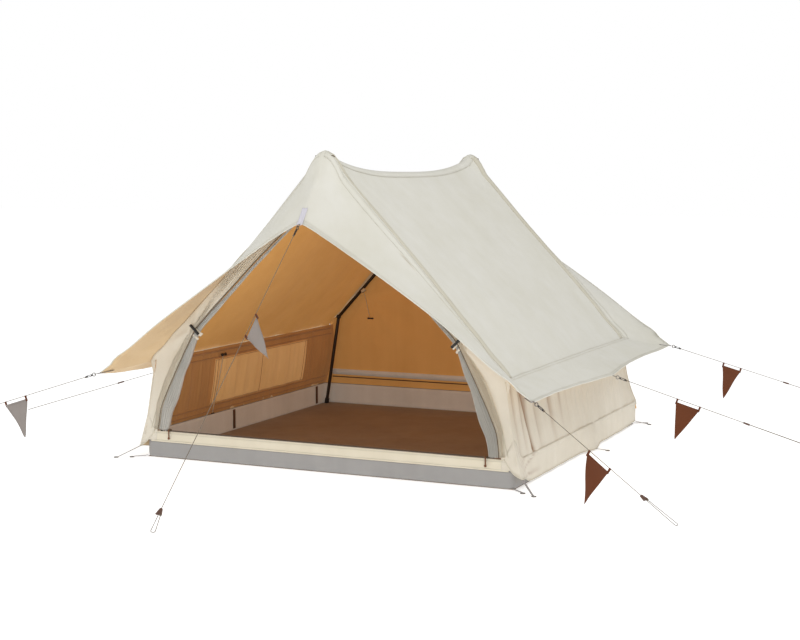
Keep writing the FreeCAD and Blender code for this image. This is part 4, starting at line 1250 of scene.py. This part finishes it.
def corner_flap(side, end):
    """The three-cornered flap, from its far corner on the gable to the skirt's own edge."""
    near = skirt_point(side, end, 0)
    apex = skirt_point(side, end, 1)
    far = Vector((side * 0.948, end * (FLOOR_HALF + 0.003), 0.1405))
    rows = []
    for d in steps(7):
        row = []
        for k in steps(13)[:-1]:
            swell = math.sin(math.pi * k)
            low = lerp(far, apex, k) + Vector((0, 0, -0.016)) * swell
            row.append(lerp(lerp(far, near, k), low, d) + Vector((0, end * 0.006 * swell, 0)) * d)
        rows.append(row + [skirt_point(side, end, d)])
    return rows


for side_name, side in SIDES:
    grids = [[[skirt_point(side, t, d) for t in steps(121, -1, 1)] for d in steps(12)]]
    hems = [[skirt_point(side, t, 1) for t in steps(121, -1, 1)]]
    for end_name, end in ENDS:
        flap = corner_flap(side, end)
        grids.append(flap)
        hems.append(flap[-1])
    # The skirt's inside takes the underside finish: painted shade and a glow.
    skirt = cloth_piece("skirt_cloth_" + side_name, grids, toward_side, 0.0018,
                        [WALL_CANVAS, CANVAS_UNDERSIDE_SHADE_AND_GLOW], offsets=(1, 0), weld=0.0012)
    shade_fan(skirt)
    finish_piece(skirt, "tent", "canvas", "skirt_" + side_name)
    hem = closed_tube("skirt_piping_" + side_name, hems, 0.0028, PIPING, 6)
    finish_piece(hem, "tent", "canvas")
    seam_path = []
    for t in steps(80, -0.90, 0.998):
        seam_path.append(skirt_point(side, t, 0.03) + Vector((side * 0.0004, 0, 0)))
    top_seam = closed_tube("wall_seam_" + side_name, [seam_path], 0.0008, WALL_CANVAS, 4)
    finish_piece(top_seam, "tent", "canvas")
print(len(SIDES), "skirts")

# %% [markdown]
# Inside each side wall there is a window with a canvas cover, sewn along its edges and across its
# middle. Two narrow bands of webbing run along the wall above the window and two below it, and two
# upright straps hold the groundsheet's edge.


# %% inside of the walls
def inside_strip(side, y_low, y_high, z_high, z_low, gap, columns, levels, wave=0.0015):
    """A strip that follows the wall's own folds, a gap inside it."""
    rows = []
    for z in steps(levels, z_high, z_low):
        down = (WALL_TOP_Z - z) / (WALL_TOP_Z - WALL_FOOT_Z)
        row = []
        for y in steps(columns, y_low, y_high):
            place = wall_point(side, y / gable_depth(z), down, gap)
            row.append(place + Vector((side * wave * ruffle(y * 9, z * 5, 2.0), 0, 0)))
        rows.append(row)
    return rows


def toward_middle(point):
    return Vector((-point.x, 0, 0))


BANDS = [(0.486, 0.476), (0.452, 0.446), (0.196, 0.190), (0.168, 0.163)]
COVER_FRONT = -0.42
COVER_REAR = 0.64
COVER_TOP = 0.440
COVER_FOOT = 0.205
COVER_SEAM_HEIGHTS = (COVER_TOP - 0.004, COVER_FOOT + 0.004)
COVER_SEAM_PLACES = (-0.416, -0.395, 0.11, 0.615, 0.636)
STRAP_PLACES = (-0.14, 0.86)
for side_name, side in SIDES:
    cover_rows = inside_strip(side, COVER_FRONT, COVER_REAR, COVER_TOP, COVER_FOOT, 0.0120, 81, 16)
    cover = cloth_piece("window_cover_" + side_name, [cover_rows], toward_middle, 0.0012,
                        [COVER_CLOTH], offsets=(0, 0))
    finish_piece(cover, "tent", "canvas", *(["window_covers"] if side_name == "left" else []))
    cover_seams = []
    for z in COVER_SEAM_HEIGHTS:
        cover_seams += inside_strip(side, COVER_FRONT, COVER_REAR, z, z, 0.0138, 81, 2)[:1]
    for y in COVER_SEAM_PLACES:
        upright = inside_strip(side, y, y + 0.01, COVER_TOP - 0.002, COVER_FOOT + 0.002, 0.0138, 2, 16)
        cover_seams.append([row[0] for row in upright])
    cover_stitch = closed_tube("window_stitching_" + side_name, cover_seams, 0.0016, BAND_CLOTH, 6)
    finish_piece(cover_stitch, "tent", "canvas")
    band_grids = [inside_strip(side, -0.95, 0.95, high, low, 0.0072, 121, 3, 0.0005) for high, low in BANDS]
    bands = cloth_piece("wall_bands_" + side_name, band_grids, toward_middle, 0.0014,
                        [BAND_CLOTH], offsets=(0, 0))
    finish_piece(bands, "tent", "webbing", *(["eave_bands"] if side_name == "left" else []))
    strap_grids = []
    for y in STRAP_PLACES:
        path = [Vector((side * (FLOOR_HALF - 0.0062), y, z)) for z in steps(7, 0.010, 0.118)]
        strap_grids.append(ribbon_rows(path, (0, 1, 0), 0.026, 3))
    straps = cloth_piece("edge_straps_" + side_name, strap_grids, toward_middle, 0.0016,
                         [STRAP_CLOTH], offsets=(0, 0))
    finish_piece(straps, "tent", "webbing")
    wall, area = walls[side_name]
print("window covers and bands ready")

# %% [markdown]
# The doorway is open. Each canvas door half is gathered into long folds along the doorway's edge,
# with its zip as a dark line beside it, and the grey net half is gathered inside it. A gathered
# door is a sheet that goes to and fro between narrow folds, so its grid does the same: deep folds
# near the sill, where the door was wide, and shallow ones at its top.

# %% door shape
ZIP_EDGE = [(0.012, DOOR_TOP - 0.004), (0.360, 1.015), (0.705, 0.672), (0.790, 0.510),
            (0.858, 0.375), (0.912, 0.255), (0.926, 0.145)]
FLAP_COUNT = 110
COLUMNS_PER_FOLD = 6
TOGGLE_SHARE = 0.63       # how far down the door's edge the toggle is
flap_path = polyline([(x, 0, z) for x, z in ZIP_EDGE], FLAP_COUNT, 5)


def through(share, stops):
    """A smooth value through (share, value) stops."""
    for (low, first), (high, second) in zip(stops, stops[1:]):
        if share <= high:
            return first + (second - first) * ease((share - low) / (high - low))
    return stops[-1][1]


FLAP_WIDTHS = [(0, 0.012), (0.34, 0.078), (TOGGLE_SHARE, 0.020), (0.78, 0.040), (1, 0.026)]
NET_WIDTHS = [(0, 0.006), (0.3, 0.012), (TOGGLE_SHARE, 0.018), (0.76, 0.038), (0.88, 0.062), (1, 0.052)]


def flap_width(share):
    """The canvas is slack above the toggle, pinched beside it and slack again below."""
    return through(share, FLAP_WIDTHS)


def inward_way(index):
    """Across the bundle, from the gable towards the middle of the doorway."""
    before = flap_path[max(0, index - 2)]
    after = flap_path[min(FLAP_COUNT - 1, index + 2)]
    along = (after - before).normalized()
    return Vector((along.z, 0, -along.x)) if along.z > 0 else Vector((-abs(along.z), 0, -along.x))


def bundle_rows(side, begin, width_of, depth_of, folds, back, seed):
    """A gathered sheet: begin is where it starts across the bundle, back how far inside the gable."""
    rows = []
    columns = folds * COLUMNS_PER_FOLD + 1
    for i, spine in enumerate(flap_path):
        share = i / (FLAP_COUNT - 1)
        way = inward_way(i)
        width = width_of(share)
        depth = depth_of(share)
        row = []
        for k in steps(columns):
            wander = 0.22 * ruffle(k * folds * 0.9, share * 3.0, seed) / folds
            place = spine + way * (begin(share) + width * min(1.03, max(0.0, k + wander)))
            phase = 2 * math.pi * folds * k
            fold = 0.5 - 0.5 * math.cos(phase)
            uneven = 0.72 + 0.28 * ruffle(math.floor(k * folds + 0.5) * 1.7, share * 2.2, seed + 3)
            front = 0.006 * math.sin(math.pi * k) + 0.0030 * ruffle(share * 16, k * 3, seed + 7)
            y = -gable_depth(place.z) + back - front + depth * fold * uneven
            row.append(Vector((side * place.x, y, place.z)))
        rows.append(row)
    return rows


def flap_depth(share):
    return 0.009 + 0.022 * ease(share / 0.8)


def flap_begin(share):
    return -flap_width(share) - 0.002


def net_begin(share):
    """The net starts at the same distance from the edge all the way down."""
    return 0.002


def net_width(share):
    return through(share, NET_WIDTHS)


def net_depth(share):
    return 0.009 + 0.019 * ease(share / 0.8)


# %% doors
gather_areas = []
for side_name, side in SIDES:
    canvas_rows = bundle_rows(side, flap_begin, flap_width, flap_depth, 9, -0.003, side * 2.0)
    door = cloth_piece("door_canvas_" + side_name, [canvas_rows], toward_y(-1), 0.0010,
                       [DOOR_CLOTH], offsets=(0, 0), weld=0.0001)
    finish_piece(door, "tent", "canvas", *(["door_flaps"] if side_name == "left" else []))
    zip_line = []
    for place in flap_path:
        zip_line.append(Vector((side * place.x, -gable_depth(place.z) - 0.006, place.z)))
    zip_tape = closed_tube("door_zip_" + side_name, [zip_line], 0.0021, ZIP_CLOTH, 6)
    finish_piece(zip_tape, "tent", "zip_teeth")
    net_rows = bundle_rows(side, net_begin, net_width, net_depth, 10, 0.004, side * 5.0)
    net = cloth_piece("door_net_" + side_name, [net_rows], toward_y(-1), 0.0006,
                      [NET_CLOTH], offsets=(0, 0), weld=0.0001)
    finish_piece(net, "tent", "net", *(["net_doors"] if side_name == "left" else []))
    gather_areas += [round(cloth_area([canvas_rows]), 3), round(cloth_area([net_rows]), 3)]

# %% [markdown]
# A loop of canvas goes round each gathered door beside its toggle. A binding runs along the edge
# of the gable where the doorway begins, with a seam further out, and each corner of the walls is
# sewn.

# %% toggle loops and doorway binding
loop_grids = []
for side_name, side in SIDES:
    centre = Vector((side * TOGGLE_X, -gable_depth(TOGGLE_Z), TOGGLE_Z))
    across = Vector((side * 0.72, 0, 0.69)).normalized()
    along = Vector((side * 0.69, 0, -0.72)).normalized()
    path = []
    for share in steps(15):
        out = math.sin(math.pi * share) ** 0.6
        path.append(centre + across * (-0.042 + 0.092 * share) + Vector((0, 0.012 - 0.0155 * out, 0)))
    loop_grids.append(ribbon_rows(path, along, 0.022, 5, 0.001, (0, -1, 0)))
    second = [p + along * 0.030 + Vector((0, 0.0005, 0)) for p in path]
    loop_grids.append(ribbon_rows(second, along, 0.012, 4, 0.001, (0, -1, 0)))
toggle_loops = cloth_piece("toggle_straps", loop_grids, toward_y(-1), 0.0014, [DOOR_CLOTH], offsets=(0, 0))
finish_piece(toggle_loops, "tent", "canvas", "toggle_loops")
print("toggle straps", len(loop_grids), "ribbons")

# %% doorway binding and corner seams
PANEL_SEAM = [(0.765, 0.620), (0.862, 0.460), (0.925, 0.300), (0.968, 0.150)]
binding_paths = []
for side_name, side in SIDES:
    edge = polyline([(side * x, -gable_depth(z) - 0.001, z) for x, z in DOOR_EDGE[:-1]], 64, 2)
    binding_paths.append(edge)
    binding_paths.append([p + Vector((side * 0.016, 0.0004, 0.010)) for p in edge])
    seam = polyline([(side * x, -gable_depth(z) - 0.0015, z) for x, z in PANEL_SEAM], 50, 3)
    binding_paths.append(seam)
door_binding = closed_tube("doorway_binding", binding_paths, 0.0017, SLEEVE_CLOTH, 6)
finish_piece(door_binding, "tent", "canvas")
corner_paths = []
for side_name, side in SIDES:
    for end_name, end in ENDS:
        inset = rear_inset if end > 0 else lambda z: 0
        path = []
        for z in steps(30, WALL_TOP_Z - 0.004, WALL_BOTTOM):
            path.append(Vector((side * (wall_x(z) - inset(z) + 0.0006), end * (gable_depth(z) + 0.0006), z)))
        corner_paths.append(path)
corner_seams = closed_tube("corner_seams", corner_paths, 0.0032, WALL_CANVAS, 6)
finish_piece(corner_seams, "tent", "canvas")
print("bindings and seams", len(binding_paths) + len(corner_paths))

# %% [markdown]
# Small soft things inside: the tape that hangs from the left wall, and the strap on the rear left
# rafter with its own tape. Both tapes end in a small dark toggle, and a third toggle is fixed where
# the left wall's tape is sewn on.


# %% hanging ties
def toggle_bar(centre, way, length, radius):
    """A small toggle: thicker towards its ends, with a waist."""
    rings = []
    for share in steps(13, -1, 1):
        rounded_end = math.sqrt(max(0.0, 1 - max(0.0, abs(share) - 0.85) ** 2 * 30))
        swell = radius * (0.72 + 0.38 * abs(share) ** 1.5) * rounded_end
        rings.append((centre + way * length / 2 * share, swell))
    up = way.orthogonal().normalized()
    other = way.cross(up)
    rows = [[rings[0][0]] * 13]
    for place, reach in rings:
        turns = steps(13, 0, 2 * math.pi)
        rows.append([place + (up * math.cos(a) + other * math.sin(a)) * reach for a in turns])
    rows.append([rings[-1][0]] * 13)
    return rows


wall_tie = Vector((-wall_x(0.452) + 0.018, -0.347, 0.452))
rafter_tie = Vector((-0.705, FRAME_Y, 0.722))
WALL_TIE_END = Vector((0, -0.115, -0.300))
RAFTER_TIE_END = Vector((0.050, -0.010, -0.165))
tie_grids = []
for top, end in ((wall_tie, WALL_TIE_END), (rafter_tie, RAFTER_TIE_END)):
    path = [top + end * k + Vector((0.0015 * math.sin(k * 5), 0, -0.002 * (1 - k))) for k in steps(12)]
    tie_grids.append(ribbon_rows(path, (0, 1, 0), 0.008, 3))
wrap = []
for a in steps(19, 0, 2 * math.pi):
    wrap.append(rafter_tie + Vector((0.0115 * math.sin(a), 0.014 * math.cos(a), 0.010 * math.sin(a))))
tie_grids.append(ribbon_rows(wrap, (-0.68, 0, 0.73), 0.016, 3))
ties = cloth_piece("inside_ties", tie_grids, toward_y(-1), 0.0012, [STRIP_CLOTH], offsets=(0, 0))
finish_piece(ties, "tent", "webbing", "hanging_ties")
toggle_grids = [toggle_bar(wall_tie + WALL_TIE_END * 1.015, Vector((0, 1, 0)), 0.026, 0.004),
                toggle_bar(rafter_tie + RAFTER_TIE_END * 1.03, Vector((1, 0, 0)), 0.040, 0.006),
                toggle_bar(wall_tie + Vector((0.004, 0, 0.004)), Vector((0, 1, 0)), 0.042, 0.009)]
tie_toggles = cloth_piece("tie_toggles", toggle_grids, upward, 0, [BLACK_PLASTIC], weld=0.00002)
finish_piece(tie_toggles, "tent", "joint_plastic")
print("ties", len(tie_grids))

# %% [markdown]
# The pegging loops are short pieces of webbing. Each goes over the near rim of its ring and down
# through it.

# %% peg loops
# where the webbing is sewn on, where its peg goes, and at which ends
PEG_POINTS = [(Vector((1.004, 1.008, 0.006)), Vector((1.058, 1.050, 0)), (-1, 1)),
              (Vector((1.040, 1.002, 0.052)), Vector((1.126, 1.092, 0)), (-1,)),
              (Vector((1.004, 1.000, 0.018)), Vector((1.088, 1.008, 0)), (1,)),
              (Vector((1.040, 0.120, 0.008)), Vector((1.104, 0.124, 0)), (1,))]
OVER_RING = ((0.015, 0.0055), (0.009, 0.0055), (0.0055, 0.001))
peg_grids = []
for sewn, peg, ends in PEG_POINTS:
    for side_name, side in SIDES:
        for end in ends:
            start = Vector((sewn.x * side, sewn.y * end, sewn.z))
            ring = Vector((peg.x * side, peg.y * end, 0))
            way = Vector((ring.x - start.x, ring.y - start.y, 0)).normalized()
            across = Vector((0, 0, 1)).cross(way)
            stops = [start - way * 0.012 + Vector((0, 0, 0.003)), start]
            for before, height in OVER_RING:
                stops.append(ring - way * before + Vector((0, 0, height)))
            peg_grids.append(ribbon_rows(polyline(stops, 22, 1), across, 0.010, 3))
peg_webbing = cloth_piece("peg_webbing", peg_grids, upward, 0.0016, [WEBBING], offsets=(0, 0))
finish_piece(peg_webbing, "tent", "webbing", "peg_loops")
print("peg loops", len(peg_grids))

# %% [markdown]
# A pennant is a triangle of stiff cotton with a hem on each side. It hangs from its line by two
# small loops, and swings on the line, so each one rides on its own body. The cloth bends a little,
# more towards the tip.


# %% pennants
def pennant_point(anchor, directions, flag_at, down, share, bend, lean):
    """down is 0 at the hem beside the line and 1 at the tip; share runs along the line."""
    way, across, up = directions
    half = FLAG_WIDTH / 2 * (1 - down) + 0.0015 * down
    middle = flag_at + FLAG_WIDTH / 2
    sideways = share * 2 - 1
    swing = bend * (down ** 2) * 0.020 + 0.0035 * math.sin(2.2 * math.pi * down + bend) * sideways
    place = anchor + way * (middle + lean * down ** 1.3 + half * sideways)
    return place - up * (FLAG_DROP + FLAG_DEPTH * down) + across * swing


LOOP_INSET = 0.0045
# a loop round the line, as height over it and distance beside it
LOOP_TURNS = [(-0.028, 0.0014), (-0.012, 0.0016), (-0.001, 0.0030), (0.0030, 0.0),
              (-0.001, -0.0030), (-0.012, -0.0016), (-0.028, -0.0014)]
FLAG_AT = {name: flag_at for name, ground, flag_at, *others in GUY_LINES}
# name, finish and its slot, how far the cloth bends and how far its tip leans along the line
PENNANTS = [("front", FLAG_GREY, "flag_grey", 0.7, 0.030),
            ("front_right", FLAG_BROWN, "flag_brown", -0.8, 0.050),
            ("middle_right", FLAG_BROWN, "flag_brown", 0.6, 0),
            ("rear_right", FLAG_BROWN, "flag_brown", -0.5, 0),
            ("front_left", FLAG_GREY, "flag_grey", 0.9, 0)]
for name, finish, slot_name, bend, lean in PENNANTS:
    flag_at = FLAG_AT[name]
    anchor = ANCHORS[name]
    directions = line_directions(anchor, GROUND[name])
    way, across, up = directions

    def cloth_at(down, share):
        return pennant_point(anchor, directions, flag_at, down, share, bend, lean)

    rows = [[cloth_at(d, k) for k in steps(15)] for d in steps(24)]
    flag = cloth_piece("flag_" + name, [rows], lambda p: across, 0.0011, [finish], offsets=(0, 0),
                       weld=0.0001)
    finish_piece(flag, "pennant_" + name, slot_name, "pennant_" + name)
    hems = []
    for k in (0.045, 0.955):
        hems.append([cloth_at(d, k) + across * 0.0002 for d in steps(24, 0.03, 0.95)])
    hems.append([cloth_at(0.045, k) + across * 0.0002 for k in steps(15, 0.05, 0.95)])
    hem_stitch = closed_tube("flag_hem_" + name, hems, 0.0011, finish, 4)
    finish_piece(hem_stitch, "pennant_" + name, slot_name)
    loops = []
    for place in (LOOP_INSET, FLAG_WIDTH - LOOP_INSET):
        centre = anchor + way * (flag_at + place)
        path = polyline([centre + up * high + across * out for high, out in LOOP_TURNS], 26, 1)
        loops.append(ribbon_rows(path, way, 0.0088, 3))
    flag_loops = cloth_piece("flag_loops_" + name, loops, lambda p: across, 0.0008, [FLAG_BROWN],
                             offsets=(0, 0), weld=0.0001)
    finish_piece(flag_loops, "pennant_" + name, "flag_brown")
print(len(PENNANTS), "pennants")

# %% [markdown]
# The hard parts keep their CAD shapes and get their finishes here. One node group makes them look
# used: broad noise varies the colour, fine noise roughens it, and stretched noise leaves faint
# scratches.


# %% hard surface group
def build_surface_group():
    tree, entry, exit_ = group_tree(
        "used_surface",
        [("Light Color", "NodeSocketColor", (0.5, 0.5, 0.5, 1)),
         ("Dark Color", "NodeSocketColor", (0.3, 0.3, 0.3, 1)),
         ("Grain Scale", "NodeSocketFloat", 600.0), ("Base Roughness", "NodeSocketFloat", 0.4),
         ("Scratches", "NodeSocketFloat", 0.3)],
        [("Color", "NodeSocketColor"), ("Height", "NodeSocketFloat"), ("Roughness", "NodeSocketFloat")])
    where = tree.nodes.new("ShaderNodeTexCoord")
    broad = noise_texture(tree, where.outputs["Object"], 9.0, 3.0)
    grain = noise_texture(tree, where.outputs["Object"])
    tree.links.new(entry.outputs["Grain Scale"], grain.inputs["Scale"])
    scratch = noise_texture(tree, stretched(tree, where.outputs["Object"], (900.0, 900.0, 14.0)))
    line = math_node(tree, "GREATER_THAN", scratch.outputs["Fac"], 0.66)
    line = math_node(tree, "MULTIPLY", line, entry.outputs["Scratches"])
    share = math_node(tree, "ADD", math_node(tree, "MULTIPLY", broad.outputs["Fac"], 0.7),
                      math_node(tree, "MULTIPLY", grain.outputs["Fac"], 0.3))
    share = math_node(tree, "SUBTRACT", share, line)
    color = color_mix(tree, share, entry.outputs["Light Color"], entry.outputs["Dark Color"])
    tree.links.new(color, exit_.inputs["Color"])
    rough = math_node(tree, "MULTIPLY", grain.outputs["Fac"], 0.22)
    rough = math_node(tree, "ADD", entry.outputs["Base Roughness"], rough)
    rough = math_node(tree, "ADD", rough, math_node(tree, "MULTIPLY", line, 0.3))
    tree.links.new(rough, exit_.inputs["Roughness"])
    tree.links.new(math_node(tree, "SUBTRACT", grain.outputs["Fac"], line), exit_.inputs["Height"])
    return tree


surface_group = build_surface_group()


def hard_material(name, light, dark, metallic=0.0, roughness=0.4, grain=600.0, scratches=0.2,
                  relief=0.15, coat=0.0):
    """A moulded or metal finish; grain is how fine its roughness is, and relief how deep."""
    material, tree, shader = new_material(name, light)
    surface = tree.nodes.new("ShaderNodeGroup")
    surface.node_tree = surface_group
    surface.inputs["Light Color"].default_value = light
    surface.inputs["Dark Color"].default_value = dark
    surface.inputs["Grain Scale"].default_value = grain
    surface.inputs["Base Roughness"].default_value = roughness
    surface.inputs["Scratches"].default_value = scratches
    tree.links.new(surface.outputs["Color"], shader.inputs["Base Color"])
    tree.links.new(surface.outputs["Roughness"], shader.inputs["Roughness"])
    shader.inputs["Metallic"].default_value = metallic
    shader.inputs["Coat Weight"].default_value = coat
    bump(tree, shader, surface.outputs["Height"], relief, 0.0003)
    return material


# %% finishes of the hard parts
HARD_FINISHES = {
    "pole": hard_material("dark_tube", srgb(92, 86, 80), srgb(62, 57, 52),
                          metallic=1.0, roughness=0.30, scratches=0.35),
    "joint": hard_material("joint_black", srgb(44, 42, 40), srgb(28, 27, 26),
                           roughness=0.45, grain=900.0),
    "slider": hard_material("slider_brown", srgb(104, 66, 44), srgb(74, 46, 30),
                            roughness=0.42, grain=700.0, coat=0.1),
    "zip_teeth": hard_material("zip_dark", srgb(86, 74, 60), srgb(60, 50, 40),
                               roughness=0.45, grain=1400.0, relief=0.5),
    "zip_metal": hard_material("zip_brass", srgb(146, 132, 108), srgb(112, 98, 78),
                               metallic=1.0, roughness=0.28),
    "leather": hard_material("pull_leather", srgb(124, 76, 42), srgb(92, 54, 28),
                             roughness=0.52, grain=420.0, relief=0.6),
    "ring": hard_material("ring_steel", srgb(150, 146, 140), srgb(112, 108, 104),
                          metallic=1.0, roughness=0.30),
    "hook": hard_material("hook_dark", srgb(58, 54, 52), srgb(38, 36, 34),
                          roughness=0.38, grain=900.0),
}
NODE_FINISHES = {
    "front_legs": "pole", "rear_legs": "pole", "front_rafters": "pole", "rear_rafters": "pole",
    "elbow_joints": "joint", "peak_hubs": "joint", "pole_feet": "joint", "door_toggle_left": "joint",
    "door_toggle_right": "joint", "zip_chain": "zip_teeth", "zip_slider_left": "zip_metal",
    "zip_slider_right": "zip_metal", "zip_pull_left": "leather", "zip_pull_right": "leather",
    "guy_rings": "ring", "guy_hooks": "hook", "peg_rings": "ring",
}
for name in GROUND:
    NODE_FINISHES["slider_" + name] = "slider"
for node, finish_name in NODE_FINISHES.items():
    node_object = bpy.data.objects[node]
    node_object.data.materials.clear()
    node_object.data.materials.append(HARD_FINISHES[finish_name])
print(len(NODE_FINISHES), "CAD nodes finished")
